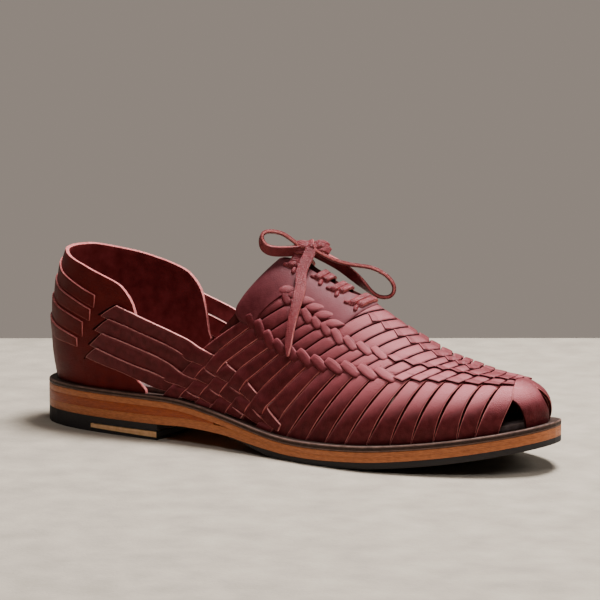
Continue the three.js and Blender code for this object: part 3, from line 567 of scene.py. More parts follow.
@dataclass(frozen=True)
class Pad:
    """A small rounded piece: a plait's segment, a pointed strip end or a folded end of the thong.

    base and low are the lifts of its rim and its flesh side, ends and sides the powers of its dome,
    taper its width along it and tilt how much lower its front end lies than its rear end.
    """

    along: int
    across: int
    length: float
    width: float
    height: float
    base: float
    low: float
    ends: float
    sides: float
    taper: Callable[[Array], Array]
    tilt: float = 0.0

    def blank(self, last: Last, station: float, share: float, ahead: Array, turn: float = 0.0) -> Blank:
        """The pad, laid on the last.

        Args:
            last: the form.
            station: place of its middle.
            share: place of its middle.
            ahead: direction of its front end.
            turn: degrees that its front end is turned up.

        Returns:
            The pad as a blank.
        """
        chart = last.chart(station, share, ahead, turn)

        def place(u: Array, v: Array) -> tuple[Array, Array]:
            """A tapered oblong."""
            return chart((u - 0.5) * self.length, (v - 0.5) * self.width * self.taper(u))

        def high(u: Array, v: Array) -> Array:
            """Domed along and across."""
            rise = (self.height - self.base) * dome(u, self.ends) * dome(v, self.sides)
            return self.base + rise - self.tilt * (u - 0.5)

        return last.blank(self.along, self.across, place, even(self.low), high)


BARREL = Pad(12, 8, 1.0, 5.7, 1.0, base=-0.55, low=-1.1, ends=5.0, sides=4.2, taper=blunt, tilt=0.5)
LEAF = Pad(12, 8, 11.5, 6.2, 1.25, base=-0.1, low=-0.9, ends=2.4, sides=2.6, taper=almond)
TAIL = Pad(8, 6, 4.2, 2.4, 2.0, base=0.7, low=0.3, ends=3.0, sides=2.4, taper=folded)


class Face(IntEnum):
    """Material slots of a cut piece of leather."""

    GRAIN = 0
    FLESH = 1
    CUT = 2
    RIM = 3


class Tree:
    """Adds nodes to a material or to the room."""

    def __init__(self, owner: bpy.types.Material | bpy.types.World) -> None:
        """Takes the owner and lets it use nodes."""
        owner.use_nodes = True
        self.nodes, self.links = owner.node_tree.nodes, owner.node_tree.links

    def fill(self, node: bpy.types.Node, inputs: dict[str | int, Any]) -> bpy.types.Node:
        """Sets a node's inputs.

        Args:
            node: the node.
            inputs: what each input gets: an output of another node, or a value.

        Returns:
            The node.
        """
        for name, value in inputs.items():
            if isinstance(value, bpy.types.NodeSocket):
                self.links.new(value, node.inputs[name])
            else:
                node.inputs[name].default_value = value
        return node

    def add(self, kind: str, inputs: dict[str | int, Any], **settings: Any) -> bpy.types.Node:
        """Makes a node.

        Args:
            kind: what it is.
            inputs: what its inputs get.
            **settings: its own settings.

        Returns:
            The node.
        """
        node = self.nodes.new("ShaderNode" + kind)
        for name, value in settings.items():
            setattr(node, name, value)
        return self.fill(node, inputs)

    def blend(self, share: Any, first: Any, second: Any) -> bpy.types.NodeSocket:
        """Colour a share of the way from the first to the second; either may be a finish's colour."""
        first, second = ((*c, 1.0) if isinstance(c, tuple) else c for c in (first, second))
        return self.add("Mix", {0: share, 6: first, 7: second}, data_type="RGBA").outputs[2]


@dataclass(frozen=True)
class Finish:
    """A leather, rubber or floor finish: its two tones, grain, gloss and nap."""

    name: str
    colour: Colour
    mottle: Colour
    mottle_mm: float
    roughness: float
    swing: float
    grain_mm: float
    grain_depth: float
    mirror: float = 0.5
    stretch: tuple[float, float, float] = (1.0, 1.0, 1.0)
    # Colour of the painted highlight on faces that look up, where the top light falls.
    painted_highlight: Colour | None = None
    painted_shade_from: float | None = None  # metres along the shoe; ahead of it the colour is painted black as painted shade

    def material(self) -> bpy.types.Material:
        """The finish as a material, made once."""
        made = bpy.data.materials.get(self.name)
        return made if made else self._build()

    def _build(self) -> bpy.types.Material:
        """Makes the node tree.

        Returns:
            The material.
        """
        mottle_low, mottle_high, pebble_edge = 0.3, 0.7, 0.25
        fibre_share, bump_strength, mottle_detail, fibre_detail = 0.6, 0.6, 5.0, 3.0
        made = bpy.data.materials.new(self.name)
        tree = Tree(made)
        place = tree.add("TexCoord", {}).outputs["Object"]
        drawn = tree.add("Mapping", {"Vector": place, "Scale": self.stretch}).outputs["Vector"]

        def noise(scale_mm: float, detail: float) -> bpy.types.NodeSocket:
            """Noise of one feature size."""
            inputs = {"Vector": drawn, "Scale": 1.0 / (scale_mm * MM), "Detail": detail}
            return tree.add("TexNoise", inputs).outputs["Fac"]

        cloud = noise(self.mottle_mm, mottle_detail)
        inputs = {"Value": cloud, "From Min": mottle_low, "From Max": mottle_high}
        blotch = tree.add("MapRange", inputs).outputs["Result"]
        tone = tree.add("Attribute", {}, attribute_name="tone").outputs["Fac"]
        share = tree.add("Math", {0: blotch, 1: tone}, operation="ADD", use_clamp=True).outputs["Value"]
        colour = self._with_painted_shade(tree, place, self._with_painted_highlight(tree, tree.blend(share, self.colour, self.mottle)))
        inputs = {"Vector": place, "Scale": 1.0 / (self.grain_mm * MM)}
        edges = tree.add("TexVoronoi", inputs, feature="DISTANCE_TO_EDGE").outputs["Distance"]
        pebble = tree.add("MapRange", {"Value": edges, "From Max": pebble_edge}).outputs["Result"]
        fibre = noise(self.grain_mm * fibre_share, fibre_detail)
        relief = tree.add("Math", {0: pebble, 1: fibre}, operation="ADD").outputs["Value"]
        inputs = {"Height": relief, "Strength": bump_strength, "Distance": self.grain_depth * MM}
        bump = tree.add("Bump", inputs).outputs["Normal"]
        low, high = self.roughness - self.swing, self.roughness + self.swing
        gloss = tree.add("MapRange", {"Value": fibre, "To Min": low, "To Max": high}).outputs["Result"]
        tree.fill(tree.nodes["Principled BSDF"], {
            "Base Color": colour, "Normal": bump, "Roughness": gloss, "Specular IOR Level": self.mirror,
        })
        return made

    def _with_painted_highlight(self, tree: Tree, colour: bpy.types.NodeSocket) -> bpy.types.NodeSocket:
        """The colour with a painted highlight, pale, on faces that look up.

        Args:
            tree: the material's nodes.
            colour: the plain colour.

        Returns:
            The colour with its painted highlight, or the plain one of a finish without one.
        """
        if self.painted_highlight is None:
            return colour
        upward = tree.add("Attribute", {}, attribute_name="painted_highlight").outputs["Fac"]
        return tree.blend(upward, colour, self.painted_highlight)

    def _with_painted_shade(
        self, tree: Tree, place: bpy.types.NodeSocket, colour: bpy.types.NodeSocket
    ) -> bpy.types.NodeSocket:
        """The colour painted black ahead of a line across the shoe: painted shade.

        Args:
            tree: the material's nodes.
            place: the place on the shoe.
            colour: the plain colour.

        Returns:
            The colour with its painted shade, or the plain one of a finish without it.
        """
        if self.painted_shade_from is None:
            return colour
        along = tree.add("SeparateXYZ", {"Vector": place}).outputs["X"]
        ahead = tree.add("Math", {0: along, 1: self.painted_shade_from}, operation="GREATER_THAN").outputs["Value"]
        return tree.blend(ahead, colour, RUBBER.colour)


GRAIN = Finish(
    "burgundy_grain", (0.072, 0.004, 0.004), (0.108, 0.008, 0.007), mottle_mm=7.0, roughness=0.43, swing=0.10,
    grain_mm=0.8, grain_depth=0.24, mirror=0.08,
)
FLESH = Finish(
    "burgundy_flesh", (0.135, 0.015, 0.016), (0.230, 0.032, 0.034), mottle_mm=5.0, roughness=0.90, swing=0.06,
    grain_mm=0.5, grain_depth=0.20, mirror=0.1,
)
CUT = Finish(
    "burgundy_cut_edge", (0.400, 0.090, 0.086), (0.640, 0.210, 0.200), mottle_mm=1.5, roughness=0.80,
    swing=0.10, grain_mm=0.4, grain_depth=0.15, mirror=0.2,
)
# Cut edge of the side straps: the raw edge is lighter than the grain, and it is painted paler still as
# painted light on rims that lie in shade.
CUT_WITH_PAINTED_LIGHT = replace(
    CUT, name="burgundy_cut_edge_painted_light", colour=(0.600, 0.190, 0.175), mottle=(0.860, 0.380, 0.350)
)
# Darker copy of the burgundy for the sides of vamp pieces and the lining between them: painted shade in the
# grooves.
GROOVE_SHADE = Finish(
    "burgundy_painted_groove_shade", (0.030, 0.004, 0.004), (0.060, 0.008, 0.008), mottle_mm=3.0, roughness=0.80,
    swing=0.05, grain_mm=0.5, grain_depth=0.10, mirror=0.1,
)
# Near-black sheet laid where a strap comes out of the counter: painted shadow of the slit.
SLIT_SHADOW = Finish(
    "painted_slit_shadow", (0.006, 0.001, 0.001), (0.012, 0.002, 0.002), mottle_mm=3.0, roughness=0.90, swing=0.05,
    grain_mm=0.5, grain_depth=0.05, mirror=0.05,
)
# The pale colour that the vamp and the panel take on faces that look up is a painted highlight.
VAMP = replace(
    GRAIN, name="burgundy_vamp", colour=(0.066, 0.006, 0.008), mottle=(0.118, 0.015, 0.019), mottle_mm=3.0,
    grain_mm=0.9, grain_depth=0.16, mirror=0.13, painted_highlight=(0.415, 0.112, 0.128),
)
PANEL = replace(
    VAMP, name="burgundy_panel", colour=(0.062, 0.009, 0.012), mottle=(0.098, 0.018, 0.022), grain_depth=0.08,
    mirror=0.09, painted_highlight=(0.200, 0.060, 0.070),
)
THONG = Finish(
    "lace_thong", (0.118, 0.011, 0.015), (0.205, 0.029, 0.035), mottle_mm=4.0, roughness=0.48, swing=0.10,
    grain_mm=0.9, grain_depth=0.25, mirror=0.26,
)
WELT = Finish(
    "welt_dark_leather", (0.014, 0.006, 0.004), (0.048, 0.022, 0.015), mottle_mm=1.4, roughness=0.58,
    swing=0.12, grain_mm=0.6, grain_depth=0.25, mirror=0.2,
)
# Lighter colour on the welt's rounded top edge: a painted highlight.
WELT_RIM_HIGHLIGHT = Finish(
    "welt_rim_painted_highlight", (0.062, 0.029, 0.022), (0.170, 0.092, 0.072), mottle_mm=4.0, roughness=0.50, swing=0.12,
    grain_mm=0.6, grain_depth=0.12, mirror=0.3,
)
TAN = Finish(
    "tan_sole_edge", (0.255, 0.070, 0.022), (0.470, 0.150, 0.050), mottle_mm=2.5, roughness=0.42, swing=0.10,
    grain_mm=0.5, grain_depth=0.08, mirror=0.3, stretch=(1.0, 1.0, 6.0),
)
RED_BROWN = replace(
    TAN, name="red_brown_sole_edge", colour=(0.210, 0.036, 0.009), mottle=(0.370, 0.074, 0.017), mottle_mm=3.0
)
PALE_TAN = Finish(
    "pale_tan_inlay", (0.720, 0.370, 0.160), (0.900, 0.530, 0.280), mottle_mm=3.0, roughness=0.55, swing=0.10,
    grain_mm=0.5, grain_depth=0.08, mirror=0.3,
)
RUBBER = Finish(
    "black_rubber", (0.014, 0.011, 0.008), (0.034, 0.027, 0.019), mottle_mm=5.0, roughness=0.62, swing=0.10,
    grain_mm=0.4, grain_depth=0.06, mirror=0.3,
)
SOCK = Finish(
    "insole_nap", (0.078, 0.053, 0.050), (0.185, 0.134, 0.127), mottle_mm=3.0, roughness=0.92, swing=0.05,
    grain_mm=0.5, grain_depth=0.25, mirror=0.2,
)
FLOOR = Finish(
    "pale_floor", (0.318, 0.270, 0.216), (0.412, 0.350, 0.280), mottle_mm=18.0, roughness=0.80, swing=0.08,
    grain_mm=3.0, grain_depth=0.12, mirror=0.2,
)
# Finishes of a piece, in the order of Face; one finish serves all its faces.
LEATHER_SET = (GRAIN, FLESH, CUT)
VAMP_SET = (VAMP, FLESH, GROOVE_SHADE)
PANEL_SET = (PANEL, FLESH, GROOVE_SHADE)
PLAIN_SET = (VAMP, FLESH, GROOVE_SHADE, CUT)
WOVEN_SET = (VAMP, FLESH, CUT)
STRAP_SET = (VAMP, FLESH, CUT_WITH_PAINTED_LIGHT)
THONG_SET = (THONG, THONG, CUT)


@dataclass
class Workshop:
    """Cuts blanks from a flat primitive, shapes them and hands them to the frame."""

    last: Last
    pitch: float = 3.0  # blanks lie this far apart before they are shaped
    seed: int = 11
    tone_swing: float = 0.22
    sharp_angle: float = 52.0
    crease_angle: float = 40.0
    edge_steps: int = 2
    weld: float = 1e-6  # metres
    # The painted highlight is strongest on faces that look up, on the forefoot and on the outer shoulder, and
    # weaker on the ridge and the rear.
    level_span: tuple[float, float] = (0.15, 0.80)  # how far up a face looks, from no painted highlight to full painted highlight
    fore_span: tuple[float, float] = (0.00, 0.08)  # metres along the shoe
    rear_share: float = 0.32
    shoulder: float = 0.54
    ridge_share: float = 0.22

    def __post_init__(self) -> None:
        """Sets the draw of the pieces' tones."""
        self.draw = np.random.default_rng(self.seed)

    def cut(
        self, name: str, blanks: list[Blank], finishes: tuple[Finish, ...], edge_mm: float = 0.0,
        rim: Face = Face.GRAIN, full_edges: bool = False,
    ) -> Thing:
        """Makes one object of closed pieces.

        Args:
            name: the object's name.
            blanks: its pieces.
            finishes: its finishes, in the order of Face.
            edge_mm: how far its edges are rounded.
            rim: the finish of the rounded edges.
            full_edges: whether the rounding keeps its width where the piece runs to a tip.

        Returns:
            The object, at the origin, with its place in its mesh.
        """
        bpy.ops.object.select_all(action="DESELECT")
        for i, blank in enumerate(blanks):
            bpy.ops.mesh.primitive_grid_add(
                x_subdivisions=blank.along, y_subdivisions=blank.across, size=1.0,
                location=(self.pitch * i, 0, 0),
            )
            if i == 0:
                bpy.ops.object.mode_set(mode="EDIT")
        bpy.ops.mesh.select_all(action="SELECT")
        bpy.ops.mesh.extrude_region_move(TRANSFORM_OT_translate={"value": (0, 0, 1)})
        bpy.ops.object.mode_set(mode="OBJECT")
        made = bpy.context.object
        made.name = made.data.name = name
        self._shape(made.data, blanks)
        for finish in finishes:
            made.data.materials.append(finish.material())
        self._close()
        self._paint_highlight(made.data)
        if edge_mm > 0:
            self._round_edges(made, edge_mm, rim, full_edges)
        bpy.ops.object.shade_smooth_by_angle(angle=math.radians(self.crease_angle))
        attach(made, "root")
        LOG.info("%s: %d pieces, %d faces", name, len(blanks), len(made.data.polygons))
        return made

    def _shape(self, mesh: bpy.types.Mesh, blanks: list[Blank]) -> None:
        """Moves the flat blanks' points to their places and marks grain, flesh and cut faces.

        Args:
            mesh: the flat blanks, one unit thick.
            blanks: what they become.
        """
        flat = np.empty(3 * len(mesh.vertices))
        mesh.vertices.foreach_get("co", flat)
        flat = flat.reshape(-1, 3)
        which = np.rint(flat[:, 0] / self.pitch).astype(int)
        u = np.clip(flat[:, 0] - self.pitch * which + 0.5, 0, 1)
        v = np.clip(flat[:, 1] + 0.5, 0, 1)
        w = np.clip(flat[:, 2], 0, 1)
        points = np.empty_like(flat)
        for i, blank in enumerate(blanks):
            own = which == i
            points[own] = self.last.to_frame(blank.shape(u[own], v[own], w[own]))
        mesh.vertices.foreach_set("co", points.ravel())
        tones = self.draw.uniform(-self.tone_swing, self.tone_swing, len(blanks))
        mesh.attributes.new("tone", "FLOAT", "POINT").data.foreach_set("value", tones[which])
        corner = np.empty(len(mesh.loops), int)
        mesh.loops.foreach_get("vertex_index", corner)
        depth = np.rint(w[corner].reshape(-1, 4).sum(axis=1))
        slots = np.where(depth == 4, Face.GRAIN, np.where(depth == 0, Face.FLESH, Face.CUT))
        mesh.polygons.foreach_set("material_index", slots.astype(np.int32))
        mesh.update()

    def _close(self) -> None:
        """Closes the tips, and takes out the walls inside pieces that join along the ridge."""
        bpy.ops.object.mode_set(mode="EDIT")
        bpy.ops.mesh.select_all(action="SELECT")
        bpy.ops.mesh.remove_doubles(threshold=self.weld)
        bpy.ops.mesh.select_all(action="DESELECT")
        bpy.ops.mesh.select_non_manifold(
            use_wire=False, use_boundary=False, use_non_contiguous=False, use_verts=False
        )
        bpy.ops.mesh.delete(type="FACE")
        bpy.ops.mesh.select_all(action="SELECT")
        bpy.ops.mesh.normals_make_consistent(inside=False)
        bpy.ops.object.mode_set(mode="OBJECT")

    def _paint_highlight(self, mesh: bpy.types.Mesh) -> None:
        """Marks the painted highlight: how far each point looks up, most of all on the forefoot and its outer
        shoulder.

        Args:
            mesh: the shaped pieces.
        """
        upward, places = np.empty((2, 3 * len(mesh.vertices)))
        mesh.vertex_normals.foreach_get("vector", upward)
        mesh.vertices.foreach_get("co", places)
        steep, level = self.level_span
        rear, fore = self.fore_span
        share = smooth((upward[2::3] - steep) / (level - steep))
        share *= mix(self.rear_share, 1.0, smooth((places[::3] - rear) / (fore - rear)))
        share *= mix(1.0, self.ridge_share, smooth(1 + upward[1::3] / self.shoulder))
        mesh.attributes.new("painted_highlight", "FLOAT", "POINT").data.foreach_set("value", share)

    def _round_edges(self, made: Thing, edge_mm: float, rim: Face, full_edges: bool) -> None:
        """Rounds the sharp edges and dresses the rounding.

        Args:
            made: the object.
            edge_mm: how far its edges are rounded.
            rim: the finish of the rounded edges.
            full_edges: whether the rounding keeps its width where the piece runs to a tip.
        """
        bevel = made.modifiers.new("rounded_edges", "BEVEL")
        bevel.width = edge_mm * MM
        bevel.segments = self.edge_steps
        bevel.use_clamp_overlap = not full_edges
        bevel.material = min(rim, len(made.data.materials) - 1)
        bevel.limit_method = "ANGLE"
        bevel.angle_limit = math.radians(self.sharp_angle)
        bpy.ops.object.modifier_apply(modifier=bevel.name)


@dataclass
class Upper:
    """Woven upper: counter and heel bands, side straps, cross strips, plaits, throat panel and toe strip."""

    shop: Workshop
    wall: float = 1.8
    strip: float = 1.5
    thin: float = 1.25  # thickness of straps and woven strips
    weave: float = 0.85  # lift of what lies over at a crossing
    strap_past: float = 0.1  # stations that a strap's front end may pass a crossing
    slant: float = 0.42  # stations that a strap's rear end leans over its width
    sole_tuck: float = 0.012  # share that strips reach below the welt's top
    barrel_turn: float = -26.0
    first_rope: tuple[int, int] = (7, 9)  # first strip with a rounded segment, on the first and second line
    rope_end: float = 10.3
    third_line: tuple[Spot, Spot] = ((5.0, 7.6), (0.945, 0.87))  # stations, shares
    third_span: Spot = (4.2, 7.75)
    last_cell: float = 8.6
    half_groove: float = 0.36
    slit_half: float = 0.036
    slit_end: float = 8.0

    def __post_init__(self) -> None:
        """Finds where straps and strips cross."""
        rounds, first_guess = 15, (9.0, 0.1)
        self.last = self.shop.last
        self.cross = np.zeros((len(STRAP_FRONT), STRIPS, 2))
        for strap in range(len(STRAP_FRONT)):
            for k in range(FIRST_WOVEN, STRIPS):
                station, share = first_guess
                for _ in range(rounds):
                    station = float(self.strip_edge(k, share) + self.strip_edge(k + 1, share)) / 2
                    share = float(self.strap_edge(strap, station) + self.strap_edge(strap + 1, station)) / 2
                self.cross[strap, k] = station, share

    def strap_edge(self, edge: int, station: Value) -> Array:
        """Share of the rib where an edge between straps lies."""
        return through(STRAP_EDGES, edge + 1, station)

    def strip_edge(self, k: int, share: Value, side: int = -1) -> Array:
        """Edge of a cross strip: straight under the straps, then leaning to the plait.

        Args:
            k: which edge, from the toe.
            share: shares of the rib.
            side: side of the foot.

        Returns:
            The edge's stations.
        """
        past_plait = 1.1
        if k == 0:
            sole, corner, height = TOE_CORNERS[side]
            return mix(sole, corner, np.clip(share / height, 0, 1))
        sole, plait = STRIP_EDGES[k]
        start = self.strap_edge(0, sole) if sole > STRAP_EDGES[0, 0] else 0.0
        climbed = (share - start) / (self.last.value(plait, Rib.PLAIT) - start)
        return mix(sole, plait, np.clip(climbed, 0, past_plait))

    def meets(self, strap: int, k: int) -> bool:
        """Whether a strap reaches a strip."""
        return self.cross[strap, k, 0] > STRAP_FRONT[strap] - self.strap_past

    def level(self, strap: int, k: int) -> float:
        """Lift of a strap where it crosses a strip, which takes the opposite."""
        return self.weave if (strap + k) % 2 == 1 else -self.weave

    def wave(self, keys: Sequence[float], levels: Sequence[float], at: Array) -> Array:
        """Level that stays flat over each crossing and turns quickly between them.

        Args:
            keys: places of the crossings.
            levels: lifts there.
            at: places to read at.

        Returns:
            The lifts.
        """
        quick = 1.7
        order = np.argsort(keys)
        keys, levels = np.array(keys)[order], np.array(levels)[order]
        at = np.clip(at, keys[0], keys[-1])
        i = np.clip(np.searchsorted(keys, at) - 1, 0, len(keys) - 2)
        turned = (at - keys[i]) / (keys[i + 1] - keys[i])
        return mix(levels[i], levels[i + 1], smooth((turned - 0.5) * quick + 0.5))

    def build(self) -> list[Thing]:
        """Makes every piece of the upper.

        Returns:
            The pieces.
        """
        straps = [(side, strap) for side in SIDES for strap in range(len(STRAP_FRONT))]
        strips = [(side, k) for side in SIDES for k in range(STRIPS)]
        cut, rim = self.shop.cut, Face.CUT
        pieces = [
            cut("upper_counter", [self.counter()], LEATHER_SET, edge_mm=0.45, rim=rim),
            cut("upper_heel_bands", self.heel_bands(), LEATHER_SET, edge_mm=0.34, rim=rim),
            cut("upper_side_straps", [self.side_strap(*at) for at in straps], STRAP_SET,
                edge_mm=0.45, rim=rim),
            cut("upper_strap_slit_shadows", [self.strap_slit(*at) for at in straps], (SLIT_SHADOW,)),
            cut("upper_cross_strips", [self.cross_strip(*at) for at in strips if at[1] < FIRST_WOVEN],
                PLAIN_SET, edge_mm=0.24, rim=Face.RIM),
            cut("upper_woven_strips", [self.cross_strip(*at) for at in strips if at[1] >= FIRST_WOVEN],
                WOVEN_SET, edge_mm=0.20, rim=rim),
            cut("upper_vamp_lining", [self.lining(side) for side in SIDES], (GROOVE_SHADE,)),
            cut("upper_plait_cells", self.cells(), VAMP_SET, edge_mm=0.22),
            cut("upper_plaits", self.plaits(), VAMP_SET, edge_mm=0.15),
            cut("upper_plait_scales", self.scales(), VAMP_SET, edge_mm=0.22),
            cut("upper_throat_panel", [self.panel(side) for side in SIDES], PANEL_SET, edge_mm=0.35),
            cut("upper_toe_strip", [self.toe()], VAMP_SET, edge_mm=0.35),
        ]
        for piece in pieces:
            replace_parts(piece, "upper")
        return pieces

    def counter(self) -> Blank:
        """Sheet around the heel up to its collar.

        Returns:
            The counter.
        """
        first, inner_front, outer_front = COLLAR[0, 0], 10.95, 11.72
        low_share, front_part, tuck = 0.07, 0.08, 0.01
        heel = self.last.heel

        def place(u: Array, v: Array) -> tuple[Array, Array]:
            """Around the heel and up to the collar; low down, both fronts reach ahead.

            Args:
                u: around the heel.
                v: up to the collar.

            Returns:
                Stations and shares.
            """
            station = mix(first, 2 * heel - first, u)
            share = v * through(COLLAR, 1, heel - np.abs(station - heel))
            near_front = np.clip(1 - np.minimum(u, 1 - u) / front_part, 0, 1)
            reach = np.clip(1 - share / low_share, 0, 1) * near_front
            ahead = np.where(u < 0.5, inner_front - first, first - outer_front)
            return station + reach * ahead, share - tuck * (v == 0)

        return self.last.blank(120, 18, place, even(-self.wall), even(0.0))

    def heel_bands(self) -> list[Blank]:
        """Bands around the heel, each with its upper edge standing proud.

        Returns:
            The bands, top first.
        """
        turn, lap, end_part, end_level = 2 * self.last.heel, 0.008, 0.03, 0.7
        flush, proud, depth = 0.02, 0.85, 0.9

        def high(u: Array, v: Array) -> Array:
            """Proud along the upper edge, flush below and at the ends."""
            ends = smooth(np.minimum(u, 1 - u) / end_part)
            return mix(flush, proud, v) * mix(end_level, 1.0, ends)

        def band(upper: Array, lower: Array) -> Blank:
            """One band, from the next band's edge to its own.

            Args:
                upper: its row of HEEL_BANDS.
                lower: the next row.

            Returns:
                The band.
            """

            def place(u: Array, v: Array) -> tuple[Array, Array]:
                """From end to end, and up the band.

                Args:
                    u: along the band.
                    v: up it.

                Returns:
                    Stations and shares.
                """
                climb = np.sin(math.pi / 2 * (1 - np.abs(2 * u - 1)))
                bottom, top = (mix(row[1], row[2], climb) for row in (lower, upper))
                return mix(upper[0], turn - upper[0], u), mix(bottom + lap, top, v)

            return self.last.blank(60, 4, place, even(-depth), high)

        return [band(upper, lower) for upper, lower in zip(HEEL_BANDS, HEEL_BANDS[1:])]

    def side_strap(self, side: int, strap: int) -> Blank:
        """Side strap from its slit in the counter to its end in the weave.

        Args:
            side: side of the foot.
            strap: which strap, from the top.

        Returns:
            The strap.
        """
        rear, front = STRAP_REAR[strap], STRAP_FRONT[strap]
        inset = 0.003 if side < 0 else 0.0
        lap = 0.010 if strap + 1 < len(STRAP_FRONT) else 0.0
        low_rise, high_rise = (0.024, 0.022) if side > 0 and strap == 0 else (0.0, 0.0)
        lap_from, lap_over, proud_from, proud_over, rounding = 10.6, 0.7, 11.0, 0.8, 0.2
        on_counter = ((11.9, 0.45), (12.7, 0.95))
        met = [k for k in range(FIRST_WOVEN, STRIPS) if self.meets(strap, k)]
        woven = [(self.cross[strap, k, 0], self.level(strap, k)) for k in met]
        keys, levels = zip(*on_counter, *woven)

        def place(u: Array, v: Array) -> tuple[Array, Array]:
            """From the slanted rear end; behind the weave the strap laps over the next one.

            Args:
                u: along the strap.
                v: up it.

            Returns:
                Stations and shares.
            """
            station = mix(rear + self.slant * (0.5 - v), front, u)
            shingled = smooth((station - lap_from) / lap_over)
            apart = inset * (1 - shingled)
            low = self.strap_edge(strap + 1, station) + apart - lap * shingled + low_rise
            high = self.strap_edge(strap, station) - apart + high_rise
            return side * station, mix(low, high, v)

        def high(u: Array, v: Array) -> Array:
            """Over and under the strips; behind them the upper edge stands proud.

            Args:
                u: along the strap.
                v: up it.

            Returns:
                The lifts.
            """
            station = mix(rear, front, u)
            proud = smooth((station - proud_from) / proud_over)
            return self.wave(keys, levels, station) + crown(v, rounding) + proud * (v - 0.5)

        return self.last.blank(96, 6, place, below(high, self.thin), high)

    def strap_slit(self, side: int, strap: int) -> Blank:
        """Near-black strip laid on the counter along a strap's rear end: painted shadow of the slit that the
        strap comes out of.

        Args:
            side: side of the foot.
            strap: which strap, from the top.

        Returns:
            The slit.
        """
        width, past, depth, lift = 0.055, 0.12, 0.5, 0.12

        def place(u: Array, v: Array) -> tuple[Array, Array]:
            """Slanted line along the strap's end, a little past its lower corner.

            Args:
                u: up the slit.
                v: across it.

            Returns:
                Stations and shares.
            """
            along = mix(-past, 1.0, u)
            station = STRAP_REAR[strap] + self.slant * (0.5 - along) + width * v
            low, high = self.strap_edge(strap + 1, station), self.strap_edge(strap, station)
            return side * station, mix(low, high, along)

        return self.last.blank(12, 1, place, even(-depth), even(lift))

    def cross_strip(self, side: int, k: int) -> Blank:
        """Cross strip from the sole up to the first plait, apart from the next by a gap; the plain strips'
        sides take the groove's painted shade.

        Args:
            side: side of the foot.
            k: which strip, from the toe.

        Returns:
            The strip.
        """
        woven = k >= FIRST_WOVEN
        gaps, top_gap, past_straps = WOVEN_GAPS if woven else STRIP_GAPS, 0.004, 0.10
        met = [strap for strap in range(len(STRAP_FRONT)) if woven and self.meets(strap, k)]
        keys = [float(self.cross[strap, k, 1]) for strap in met]
        keys.append(max(keys, default=0.0) + past_straps)
        levels = [*(-self.level(strap, k) for strap in met), 0.0]
        plaits = [self.last.value(STRIP_EDGES[k + i, 1], Rib.PLAIT) for i in (0, 1)]
        dome_height, sink, dip, dip_part = 0.42, 0.15, 0.8, 0.07

        def place(u: Array, v: Array) -> tuple[Array, Array]:
            """Up the strip and across it, inside its half of the gaps.

            Args:
                u: up the strip.
                v: across it.

            Returns:
                Stations and shares.
            """
            share = mix(-self.sole_tuck, mix(*plaits, v) - top_gap, u)
            front, rear = self.strip_edge(k, share, side), self.strip_edge(k + 1, share)
            across = self.last.point(side * front, share) - self.last.point(side * rear, share)
            inset = 0.5 * GAP_SHARE[side] * through(gaps, 1, u) / np.linalg.norm(across, axis=-1)
            return side * mix(front, rear, mix(inset if k else 0 * inset, 1 - inset, v)), share

        def high(u: Array, v: Array) -> Array:
            """Domed; woven strips go over and under the straps; the top end dips under the plait.

            Args:
                u: up the strip.
                v: across it.

            Returns:
                The lifts.
            """
            level = self.wave(keys, levels, u * plaits[0]) if woven else 0.0
            dipped = dip * smooth((u - 1 + dip_part) / dip_part)
            return level + crown(v if k else (1 + v) / 2, dome_height) - sink - dipped

        return self.last.blank(44, 8, place, below(high, self.thin if woven else self.strip), high)

    def slit_share(self, station: Array) -> Array:
        """Share of the rib where the throat slit begins.

        Args:
            station: places along the slit.

        Returns:
            The shares.
        """
        tip = 0.3
        half = self.slit_half * np.clip(station - self.slit_end + tip, tip, 1)
        return np.where(station > self.slit_end, 1 - half, 1.0)

    def lining(self, side: int) -> Blank:
        """Thin leather under the plaits and cells, which closes the grooves between them, in the groove's
        painted shade.

        Args:
            side: side of the foot.

        Returns:
            The lining of that side.
        """
        front, rear, under_plait = 1.9, 10.85, 0.15
        bottom, top = -2.0, -1.15

        def place(u: Array, v: Array) -> tuple[Array, Array]:
            """From below the first plait to the ridge or the slit.

            Args:
                u: along the shoe.
                v: up the lining.

            Returns:
                Stations and shares.
            """
            station = mix(front, rear, u)
            low = self.last.value(station, Rib.PLAIT) - under_plait
            return side * station, mix(low, self.slit_share(station), v)

        return self.last.blank(60, 16, place, even(bottom), even(top))

    def lean(self, k: int) -> float:
        """Stations that a strip's edge leans to the toe for each share of the rib above the plait."""
        edges, leans = (0, 5, 9, 17), (0.2, 0.9, 1.5, 1.8)
        return float(np.interp(k, edges, leans))

    def joint(self, k: int, line: int) -> Spot:
        """Joint between two strips.

        Args:
            k: which edge between strips, from the toe.
            line: 0 to 2 for the plaited lines, 3 for the ridge.

        Returns:
            Its station and share.
        """
        first_part, later_part = 1.0, 0.5  # of the lean, up to the second line and above it
        station = STRIP_EDGES[k, 1]
        share = float(self.last.value(station, Rib.PLAIT))
        for i in range(line):
            inner, third = self.last.value(station, Rib.INNER), np.interp(station, *self.third_line)
            goal = float((inner, third, 1.0)[i])
            station -= self.lean(k) * (goal - share) * (later_part if i else first_part)
            share = goal
        return station, share

    def cells(self) -> list[Blank]:
        """Flat cells of the strips between the plaited lines.

        Returns:
            The cells.
        """
        return [
            self.cell(side, upper, k) for side in SIDES for upper in (False, True) for k in range(STRIPS)
            if not upper or self.joint(k, 1)[0] <= self.last_cell
        ]

